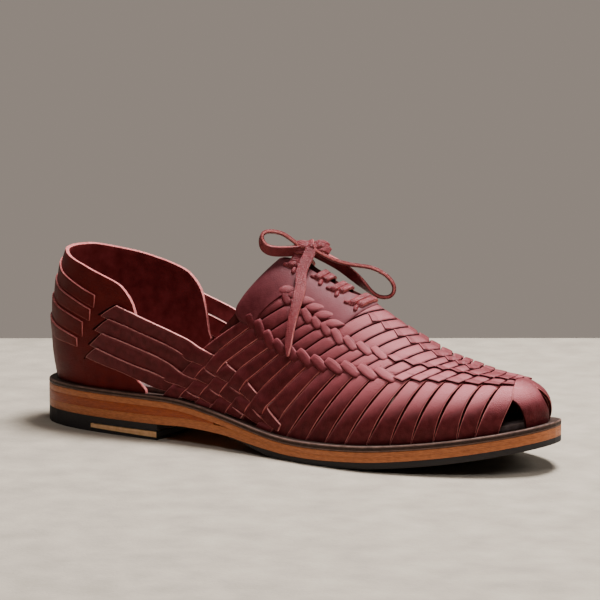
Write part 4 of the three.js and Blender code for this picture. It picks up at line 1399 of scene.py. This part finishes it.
    def cell(self, side: int, upper: bool, k: int) -> Blank:
        """Flat cell of a strip.

        Args:
            side: side of the foot.
            upper: whether it lies above the second line, up to the ridge, or below it.
            k: which strip, from the toe.

        Returns:
            The cell.
        """
        lift, pillow, dip, end_part, depth = 0.12, 0.25, 0.5, 0.22, 1.1
        most_inset, least_width, apart = 0.3, 0.5, 0.002
        low, high_line = ((self.joint(k, i), self.joint(k + 1, i)) for i in ((1, 3) if upper else (0, 1)))
        corners = np.array([low, high_line])
        front, rear = (self.last.point(side * s, t) for s, t in corners.mean(axis=0))
        width = max(float(np.linalg.norm(front - rear)), least_width)
        inset = min(most_inset, self.half_groove / width)
        start = apart if upper else 0.0

        def place(u: Array, v: Array) -> tuple[Array, Array]:
            """Between the four joints, less half a groove on each side and clear of the cell below.

            Args:
                u: along the shoe.
                v: up the cell.

            Returns:
                Stations and shares.
            """
            across = mix(inset, 1 - inset, u)[:, None]
            bottom, top = (mix(*line, across) for line in corners)
            station, share = mix(bottom, top, mix(start, 1.0, v)[:, None]).T
            return side * station, share

        def high(u: Array, v: Array) -> Array:
            """Slightly pillowed; the ends dip under the plaits."""
            ends = 1 - smooth((v if upper else np.minimum(v, 1 - v)) / end_part)
            return lift + crown(u, pillow) - dip * ends

        return self.last.blank(6, 12, place, even(-depth), high)

    def between(self, side: int, front: Spot, rear: Spot) -> tuple[float, float, Array]:
        """Middle of two places.

        Args:
            side: side of the foot.
            front: station and share of the one in front.
            rear: station and share of the one behind.

        Returns:
            The middle's station and share, and the way from the rear place to the front one.
        """
        ahead = self.last.point(side * front[0], front[1]) - self.last.point(side * rear[0], rear[1])
        return side * (front[0] + rear[0]) / 2, (front[1] + rear[1]) / 2, ahead

    def plaits(self) -> list[Blank]:
        """Rounded segments of the plaited lines, and the pointed strip ends under the throat panel.

        Returns:
            The segments and strip ends.
        """
        leaf_station, leaf_share = 0.19, 0.024
        blanks = []
        for side in SIDES:
            for line, (stretch, width, height) in enumerate(ROPES):
                for k in range(self.first_rope[line], STRIPS):
                    front, rear = self.joint(k, line), self.joint(k + 1, line)
                    if line == 0 or rear[0] < self.rope_end:
                        middle = self.between(side, front, rear)
                        length = stretch * float(np.linalg.norm(middle[2]))
                        barrel = replace(BARREL, length=length, width=width, height=height)
                        blanks.append(barrel.blank(self.last, *middle, self.barrel_turn))
            for station, share in LEAVES:
                front, rear = (
                    (station + way * leaf_station, share - way * leaf_share) for way in (-1, 1)
                )
                blanks.append(LEAF.blank(self.last, *self.between(side, front, rear)))
        return blanks

    def scales(self) -> list[Blank]:
        """Flat segments on the front of the plaited lines.

        Returns:
            The segments.
        """
        low, high = self.third_span
        return [
            self.scale(side, line, k)
            for side in SIDES for line, end in enumerate((*self.first_rope, STRIPS)) for k in range(end)
            if line < 2 or low < self.joint(k, line)[0] < high
        ]

    def scale(self, side: int, line: int, k: int) -> Blank:
        """Flat segment of a plaited line, its lower edge proud over a slit, its sides in the groove's painted
        shade.

        Args:
            side: side of the foot.
            line: which plaited line.
            k: which strip, from the toe.

        Returns:
            The segment.
        """
        half, proud = SCALES[line]
        front, rear = self.joint(k, line), self.joint(k + 1, line)
        tilt, groove, depth, pillow = 0.048, 0.05, 0.4, 0.15
        lower_lift, upper_lift, fore_lift = 0.95, 0.10, 0.25

        def place(u: Array, v: Array) -> tuple[Array, Array]:
            """Leaning cell around the line, less half a groove on each side.

            Args:
                u: along the line.
                v: up the cell.

            Returns:
                Stations and shares.
            """
            across = mix(groove, 1 - groove, u)
            rise = (2 * v - 1) * half + tilt * (across - 0.5)
            station = mix(front[0], rear[0], across) - self.lean(k) * rise
            return side * station, mix(front[1], rear[1], across) + rise

        def high(u: Array, v: Array) -> Array:
            """Proud below and in front, flush above."""
            return proud * (mix(lower_lift, upper_lift, v) + fore_lift * (1 - u)) + crown(u, pillow)

        return self.last.blank(6, 6, place, even(-depth), high)

    def panel(self, side: int) -> Blank:
        """Smooth throat panel beside the slit, with a border down along the throat.

        Args:
            side: side of the foot.

        Returns:
            The panel of that side.
        """
        front, over_line = 7.9, 0.07
        border_from, border_over = 0.612, 0.153
        edge_along, edge_up, edge_lift, rise, depth = 0.03, 0.04, 0.45, 0.45, 1.0

        def place(u: Array, v: Array) -> tuple[Array, Array]:
            """Columns from front to throat, rows from the lower edge to the slit.

            Args:
                u: along the panel.
                v: up it.

            Returns:
                Stations and shares.
            """
            guess = mix(front, PANEL_EDGE[-1, 1], u)
            border = smooth((u - border_from) / border_over)
            low = mix(self.last.value(guess, Rib.INNER) + over_line, PANEL_EDGE[0, 0], border)
            station = mix(front, through(PANEL_EDGE, 1, mix(low, 1.0, v)), u)
            return side * station, mix(low, self.slit_share(station), v)

        def high(u: Array, v: Array) -> Array:
            """Even, with its edges drawn down a little."""
            edge = np.minimum(np.minimum(u, 1 - u) / edge_along, v / edge_up)
            return edge_lift + rise * smooth(edge)

        return self.last.blank(64, 28, place, even(-depth), high)

    def toe(self) -> Blank:
        """Strip over the toe's tip.

        Returns:
            The strip.
        """
        top, lift, dip, dip_part = 0.985, 0.27, 0.4, 0.14

        def place(u: Array, v: Array) -> tuple[Array, Array]:
            """Across the tip, from the sole to the plait's end."""
            share = mix(-self.sole_tuck, top, v)
            return mix(-through(TOE_STRIP, 1, share), through(TOE_STRIP, 2, share), u), share

        def high(u: Array, v: Array) -> Array:
            """Flat, tucked under the plait at its upper end."""
            return lift - dip * smooth((v - 1 + dip_part) / dip_part)

        return self.last.blank(28, 60, place, even(-self.strip), high)


@dataclass
class Sole:
    """Stacked sole: welt, tan midsole, red-brown wedge, tan outsole, rubber forepart, heel and insole."""

    shop: Workshop
    wedge_end: float = 0.415
    forepart_start: float = 0.45
    tread_start: float = 0.555
    tread_end: float = 0.615
    waist_lift: float = 5.6
    insole_depth: float = 2.5
    insole_inset: float = 3.4
    insole_heel: float = 5.4
    insole_toe: float = 4.8
    # Millimetres behind the heel inlay's front where its painted shade begins.
    shade_inset: float = 0.3

    def under(self, *layers: int) -> Height:
        """Height below the seat after the named layers.

        Args:
            *layers: columns of LAYERS.

        Returns:
            The height along x.
        """
        last = self.shop.last

        def height(x: Array) -> Array:
            """The seat less the layers."""
            return last.seat(x) - sum(through(LAYERS, layer, x / last.length) for layer in layers)

        return height

    def tread(self, x: Array) -> Array:
        """Underside of the rubber forepart.

        Args:
            x: places along the shoe.

        Returns:
            The heights.
        """
        last = self.shop.last
        share = x / last.length
        toe = last.toe_spring * (np.maximum(0, share - self.tread_end) / (1 - self.tread_end)) ** 2
        waist = (self.tread_start - share) / (self.tread_start - self.forepart_start)
        return toe + self.waist_lift * smooth(waist)

    def insole_top(self, x: Array) -> Array:
        """Upper face of the insole."""
        return self.shop.last.seat(x) + self.shop.last.clearance + self.insole_depth

    def layer(
        self, name: str, top: Height, bottom: Height, finishes: tuple[Finish, ...], edge_mm: float = 0.12,
        span: Spot = (0, 1), outline: Array = OUTLINE, inset: float = 0.0,
    ) -> Thing:
        """One layer of the sole.

        Args:
            name: the CAD node that it stands for.
            top: height of its upper face along x.
            bottom: height of its lower face along x.
            finishes: its finishes, in the order of Face.
            edge_mm: how far its edges are rounded.
            span: shares of the length where it begins and ends.
            outline: its plan.
            inset: how far it stays inside its plan.

        Returns:
            The layer.
        """
        last = self.shop.last

        def shape(u: Array, v: Array, w: Array) -> Array:
            """Points between the two heights, inside the plan.

            Args:
                u: along the layer.
                v: across it.
                w: up through it.

            Returns:
                Heel-based points.
            """
            x = mix(*span, (1 - np.cos(math.pi * u)) / 2)
            lateral, medial = (through(outline, side, x) * last.ball_width - inset for side in (1, 2))
            middle, half = (medial - lateral) / 2, np.maximum(0, (medial + lateral) / 2)
            x = x * last.length
            return np.stack([x, middle + mix(-half, half, v), mix(bottom(x), top(x), w)], axis=-1)

        blank = Blank(72, 2, shape)
        made = self.shop.cut("sole_" + name, [blank], finishes, edge_mm, Face.RIM, full_edges=True)
        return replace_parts(made, name)

    def build(self) -> list[Thing]:
        """Makes every layer, and dresses the heel's solids.

        Returns:
            The layers.
        """
        last = self.shop.last
        under_welt = self.under(WELT_LAYER)
        under_midsole = self.under(WELT_LAYER, MIDSOLE_LAYER)
        under_wedge = self.under(WELT_LAYER, MIDSOLE_LAYER, WEDGE_LAYER)
        under_all = self.under(WELT_LAYER, MIDSOLE_LAYER, WEDGE_LAYER, LEATHER_LAYER)
        feather = RIBS[::-1, :3]
        heel, toe = feather[0, 0], feather[-1, 0]
        inside = heel + self.insole_heel / last.length, toe - self.insole_toe / last.length
        welt_set = (WELT, WELT, WELT, WELT_RIM_HIGHLIGHT)
        made = [
            (self.layer("welt", last.seat, under_welt, welt_set, edge_mm=0.7), "welt_leather"),
            (self.layer("midsole", under_welt, under_midsole, (TAN,)), "tan_leather"),
            (self.layer("outsole_leather", under_wedge, under_all, (TAN,)), "tan_leather"),
            (self.layer("heel_wedge", under_midsole, under_wedge, (RED_BROWN,), span=(0, self.wedge_end)),
             "red_brown_leather"),
            (self.layer("outsole_forepart", under_all, self.tread, (RUBBER,), edge_mm=0.3,
                        span=(self.forepart_start, 1)), "black_rubber"),
            (self.layer("insole", self.insole_top, last.seat, (SOCK,), edge_mm=0.3, span=inside,
                        outline=feather, inset=self.insole_inset), "insole_leather"),
        ]
        # The front of the heel inlay is painted black: painted shade on the heel's breast.
        breast = float(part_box("heel_inlay")[1][0]) - self.shade_inset * MM
        for node, finish in (("heel_lift", RUBBER), ("heel_inlay", replace(PALE_TAN, painted_shade_from=breast))):
            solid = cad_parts[node]
            solid.data.materials.clear()
            solid.data.materials.append(finish.material())
        return [piece for piece, _ in made]


@dataclass
class Lace:
    """Leather thong: bars over the slit, a knot, two loops and a hanging end."""

    shop: Workshop
    width: float = 5.2
    thickness: float = 1.8
    strand_width: float = 3.1
    strand_thickness: float = 1.5
    edge_mm: float = 0.45
    bow_turn: float = 31.6
    face_tilt: float = 0.2
    loop_drop: float = 0.35

    def __post_init__(self) -> None:
        """Direction from which the bow shows its edges."""
        turn = math.radians(self.bow_turn)
        self.right = np.array([math.cos(turn), math.sin(turn), 0.0])
        self.near = np.array([math.sin(turn), -math.cos(turn), 0.0])
        self.face = unit(self.near + self.face_tilt * UP)
        self.last = self.shop.last

    def bow_points(self, offsets: tuple[tuple[float, float, float], ...]) -> Array:
        """Heel-based points of places right of, above and in front of the knot's centre."""
        return np.array(KNOT_CENTRE) + np.array(offsets) @ np.stack([self.right, UP, self.near])

    def route(self, points: Array, count: int) -> Array:
        """Smooth route through points, evenly spaced.

        Args:
            points: places that it passes.
            count: how many points it gets.

        Returns:
            The route.
        """
        points = np.asarray(points, float)
        padded = np.vstack([2 * points[0] - points[1], points, 2 * points[-1] - points[-2]])
        steps = 12
        f = np.linspace(0, 1, steps, endpoint=False)[:, None]
        run = []
        for a, b, c, d in zip(padded, padded[1:], padded[2:], padded[3:]):
            bend = (2 * a - 5 * b + 4 * c - d) * f**2 + (3 * b - a - 3 * c + d) * f**3
            run.append(0.5 * (2 * b + (c - a) * f + bend))
        run = np.vstack([*run, points[-1:]])
        along = np.concatenate([[0], np.cumsum(np.linalg.norm(np.diff(run, axis=0), axis=1))])
        at = np.linspace(0, along[-1], count)
        return np.stack([np.interp(at, along, run[:, i]) for i in range(3)], axis=1)

    def thong(self, line: Array, faces: Array, width: Value, thickness: float) -> Blank:
        """Flat thong along a route.

        Args:
            line: its centre line.
            faces: direction of its broad face, even or at each point of the line.
            width: its width, even or at each point.
            thickness: its thickness.

        Returns:
            The thong as a blank.
        """
        ahead = unit(np.gradient(line, axis=0))
        across = unit(np.cross(ahead, faces))
        up = np.cross(across, ahead)
        widths = np.broadcast_to(np.asarray(width, float), len(line))

        def shape(u: Array, v: Array, w: Array) -> Array:
            """Points of the thong.

            Args:
                u: along the thong.
                v: across it.
                w: through it.

            Returns:
                Heel-based points.
            """
            i = np.rint(u * (len(line) - 1)).astype(int)
            rise = (w - 0.5) * thickness
            return line[i] + across[i] * ((v - 0.5) * widths[i])[:, None] + up[i] * rise[:, None]

        return Blank(len(line) - 1, 4, shape)

    def cord(self, node: str, line: Array, blank: Blank) -> Thing:
        """Makes a free run of the lace.

        Args:
            node: the CAD node that it stands for.
            line: its centre line.
            blank: its thong.

        Returns:
            The run.
        """
        made = self.shop.cut(node + "_thong", [blank], THONG_SET, self.edge_mm)
        path = self.last.to_frame(line)
        tuple(path[0])
        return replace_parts(made, node)

    def build(self) -> list[Thing]:
        """Makes the bars and the bow.

        Returns:
            The pieces.
        """
        pieces = [self.bar(i) for i in range(len(LACE_BARS))]
        knot = self.knot()
        outward = self.near - self.loop_drop * UP
        pieces += [
            knot,
            self.loop("lace_loop_left", LEFT_LOOP, count=64, turn=(0.45, 0.25), edge_share=0.75,
                      broad=-self.face),
            self.loop("lace_loop_right", RIGHT_LOOP, count=90, turn=(0.60, 0.18), edge_share=0.45,
                      broad=outward),
            self.front_end(),
        ]
        return pieces

    def bar(self, i: int) -> Thing:
        """Doubled thong over the slit, its ends tucked into the panel.

        Args:
            i: which bar, from the top.

        Returns:
            The bar.
        """
        station, end = LACE_BARS[i]
        blanks = [self.strand(station, end, way) for way in (-1, 1)]
        for side in SIDES:
            for behind, above, turn in BAR_TAILS:
                blanks.append(self.tail(side, station + behind, end + above, turn))
        made = self.shop.cut(f"lace_bar_{i + 1}_thong", blanks, THONG_SET, edge_mm=0.3)
        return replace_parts(made, f"lace_bar_{i + 1}")

    def strand(self, station: float, end: float, way: int) -> Blank:
        """One of a bar's two strands.

        Args:
            station: place of the bar.
            end: share where the bar goes into the panel.
            way: -1 for the front strand, 1 for the rear one.

        Returns:
            The strand.
        """
        lift, dip, end_part, skew = 2.35, 1.3, 0.20, 0.012
        apart, fill, rounding = 0.53, 0.96, 0.25
        pitch = np.linalg.norm(self.last.point(station + 0.5, 1.0) - self.last.point(station - 0.5, 1.0))
        wide = self.strand_width / float(pitch)

        def place(u: Array, v: Array) -> tuple[Array, Array]:
            """From side to side over the slit.

            Args:
                u: along the strand.
                v: across it.

            Returns:
                Stations and shares.
            """
            side = np.where(u < 0.5, -1.0, 1.0)
            share = mix(1.0, end - skew * way, np.abs(2 * u - 1))
            return side * (station + (apart * way + fill * (v - 0.5)) * wide), share

        def high(u: Array, v: Array) -> Array:
            """Arched, with both ends going down into the panel."""
            ends = 1 - smooth((1 - np.abs(2 * u - 1)) / end_part)
            return lift + crown(v, rounding) - dip * ends

        return self.last.blank(28, 6, place, below(high, self.strand_thickness), high)

    def tail(self, side: int, station: float, share: float, turn: float) -> Blank:
        """Short fold of the thong where a bar goes into its eyelet.

        Args:
            side: side of the foot.
            station: place of the fold.
            share: place of the fold.
            turn: degrees that it is turned up.

        Returns:
            The fold.
        """
        reach = 0.1
        front, rear = (self.last.point(side * (station + way * reach), share) for way in (-1, 1))
        return TAIL.blank(self.last, side * station, share, front - rear, turn)

    def knot(self) -> Thing:
        """Knot: a wrap around crossing strands, the folded short end at its right, runs to the eyelets.

        Returns:
            The knot.
        """
        drop, tall, deep, start = 0.8, 2.6, 3.5, 2.4
        pitch, sway, run_tilt, tie_tilt = 0.22, 0.9, 0.7, 0.4
        wrap, tie = (4.9, 1.5), (4.2, 1.7)  # widths and thicknesses
        centre = np.array(KNOT_CENTRE)
        turn = np.linspace(0, 2 * math.pi, 44)[:, None]
        cos, sin = np.cos(turn + start), np.sin(turn + start)
        aside = self.right * (pitch * (turn - math.pi) - sway * cos)
        ring = centre - drop * UP + tall * cos * UP - deep * sin * self.near + aside
        blanks = [self.thong(ring, ring - centre, *wrap)]
        for points, width in KNOT_RUNS:
            run = self.route(self.bow_points(points), count=26)
            blanks.append(self.thong(run, self.near + run_tilt * UP, width, self.thickness))
        for side, offset in zip(SIDES, EYELET_STARTS):
            eyelet = self.last.on(side * EYELET[:, 0], EYELET[:, 1], EYELET[:, 2])
            run = self.route(np.vstack([self.bow_points((offset,)), eyelet]), count=20)
            blanks.append(self.thong(run, self.near + tie_tilt * UP, *tie))
        made = self.shop.cut("lace_knot_wraps", blanks, THONG_SET, self.edge_mm)
        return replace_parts(made, "lace_knot")

    def loop(
        self, node: str, offsets: tuple[tuple[float, float, float], ...], count: int, turn: Spot,
        edge_share: float, broad: Array,
    ) -> Thing:
        """Loop of the bow, on its edge where it leaves the knot and then turned to its broad face.

        Args:
            node: the CAD node that it stands for.
            offsets: its places beside the knot's centre.
            count: points of its centre line.
            turn: shares of its length where it starts to turn, and over which it turns.
            edge_share: how much of its first direction it keeps.
            broad: direction that its broad face is turned to.

        Returns:
            The loop.
        """
        line = self.route(self.bow_points(offsets), count)
        turned = smooth((np.linspace(0, 1, len(line)) - turn[0]) / turn[1])[:, None]
        edge_on = unit(np.cross(self.face, unit(np.gradient(line, axis=0))))
        faces = unit(mix(edge_on, edge_share * edge_on + broad, turned))
        blank = self.thong(line, faces, self.width, self.thickness)
        return self.cord(node, line, blank)

    def front_end(self) -> Thing:
        """Hanging end: lies down the outer side and tapers to a point.


        Returns:
            The end.
        """
        tilt = 0.5
        taper_at, taper = (0, 0.06, 0.45, 0.9, 1.0), (4.6, 5.2, 4.8, 3.0, 0.7)
        station, share, lift = np.array(FRONT_END).T
        laid = self.last.on(station, share, lift)
        line = self.route(np.vstack([self.bow_points(FRONT_END_TOP), laid]), count=72)
        hung = np.tile(unit(self.near + tilt * UP), (len(FRONT_END_TOP), 1))
        normals = np.vstack([hung, self.last.normal(station, share)])
        at, along = np.linspace(0, 1, len(normals)), np.linspace(0, 1, len(line))
        faces = np.stack([np.interp(along, at, normals[:, i]) for i in range(3)], axis=1)
        width = np.interp(along, taper_at, taper)
        blank = self.thong(line, faces, width, self.thickness)
        return self.cord("lace_end_front", line, blank)


@dataclass
class Studio:
    """Camera, pale floor and soft light."""

    azimuth: float = 31.58
    elevation: float = 10.11
    distance: float = 1330.5
    focal_px: float = 2853.7
    target: tuple[float, float, float] = (135.0, 0.0, 28.4)
    centre_px: Spot = (-6.27, 81.40)  # the target's place right of and below the picture's centre
    picture_px: float = 600.0
    sensor_mm: float = 36.0
    nearest: float = 0.01  # metres
    floor_front: float = -1200.0
    floor_back: float = 300.0
    floor_width: float = 3000.0
    backdrop: Colour = (0.290, 0.246, 0.212)
    room_dim: Colour = (0.014, 0.012, 0.011)
    lit_height: float = 0.04

    def build(self, last: Last) -> None:
        """Sets the camera, the floor and the lights.

        Args:
            last: the form that the camera looks at.
        """
        a, e = math.radians(self.azimuth), math.radians(self.elevation)
        back = np.array([math.sin(a) * math.cos(e), -math.cos(a) * math.cos(e), math.sin(e)])
        right = np.array([math.cos(a), math.sin(a), 0.0])
        away = np.array([-math.sin(a), math.cos(a), 0.0])
        up = np.cross(back, right)
        look = -back - right * self.centre_px[0] / self.focal_px + up * self.centre_px[1] / self.focal_px
        data = bpy.data.cameras.new("photo_camera")
        data.sensor_width = self.sensor_mm
        data.lens = self.sensor_mm * self.focal_px / self.picture_px
        data.clip_start = self.nearest
        eye = last.to_frame(np.array(self.target) + back * self.distance)
        bpy.context.scene.camera = self._stand("photo_camera", data, eye, look)
        self._floor(away, right)
        self._room(away)
        self._lights(away, right)

    def _stand(self, name: str, data: bpy.types.Camera | bpy.types.Light, place: Array, look: Array) -> Thing:
        """Stands a camera or a lamp in the room.

        Args:
            name: its name.
            data: the camera or the lamp.
            place: where it stands.
            look: where it looks.

        Returns:
            Its object.
        """
        stand = bpy.data.objects.new(name, data)
        stand.location = place
        stand.rotation_mode = "QUATERNION"
        stand.rotation_quaternion = Vector(look).to_track_quat("-Z", "Y")
        bpy.context.collection.objects.link(stand)
        return stand

    def _floor(self, away: Array, right: Array) -> None:
        """Pale floor that ends behind the shoe.

        Args:
            away: direction away from the camera.
            right: direction to its right.
        """
        bpy.ops.object.select_all(action="DESELECT")
        bpy.ops.mesh.primitive_grid_add(x_subdivisions=8, y_subdivisions=8, size=1.0)
        floor = bpy.context.object
        floor.name = floor.data.name = "floor"
        for vertex in floor.data.vertices:
            side = vertex.co.x * self.floor_width * MM
            depth = mix(self.floor_front * MM, self.floor_back * MM, vertex.co.y + 0.5)
            vertex.co = Vector(right * side + away * depth)
        floor.data.materials.append(FLOOR.material())
        floor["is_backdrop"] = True

    def _room(self, away: Array) -> None:
        """Makes the room bright behind the shoe and dim in front.

        Args:
            away: direction away from the camera.
        """
        dim_to, bright_from = 0.1, 0.8
        world = bpy.data.worlds.new("studio")
        bpy.context.scene.world = world
        tree = Tree(world)
        seen = tree.add("TexCoord", {}).outputs["Generated"]
        facing = tree.add("VectorMath", {0: seen, 1: away}, operation="DOT_PRODUCT").outputs["Value"]
        inputs = {"Value": facing, "From Min": dim_to, "From Max": bright_from}
        behind = tree.add("MapRange", inputs).outputs["Result"]
        tree.fill(tree.nodes["Background"], {"Color": tree.blend(behind, self.room_dim, self.backdrop)})

    def _lights(self, away: Array, right: Array) -> None:
        """Soft light from above, weak from the right and from the near side.

        Args:
            away: direction away from the camera.
            right: direction to its right.
        """
        for name, (aside, behind, above), size, power in LAMPS:
            place = right * aside + away * behind + UP * above
            lamp = bpy.data.lights.new(name, "AREA")
            lamp.energy, lamp.size = power, size
            self._stand(name, lamp, place, self.lit_height * UP - place)


def main() -> None:
    """Builds the shoe around its frame and reports each piece."""
    logging.basicConfig(level=logging.INFO, format="%(message)s")
    last = Last()
    Studio().build(last)
    shop = Workshop(last)
    made = Lace(shop).build() + Upper(shop).build() + Sole(shop).build()
    LOG.info("%d pieces made", len(made))
    named = (("cad", CAD_BOX), ("visual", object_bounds()))
    boxes = {name: [list(corner) for corner in box] for name, box in named}


if __name__ == "__main__":
    main()
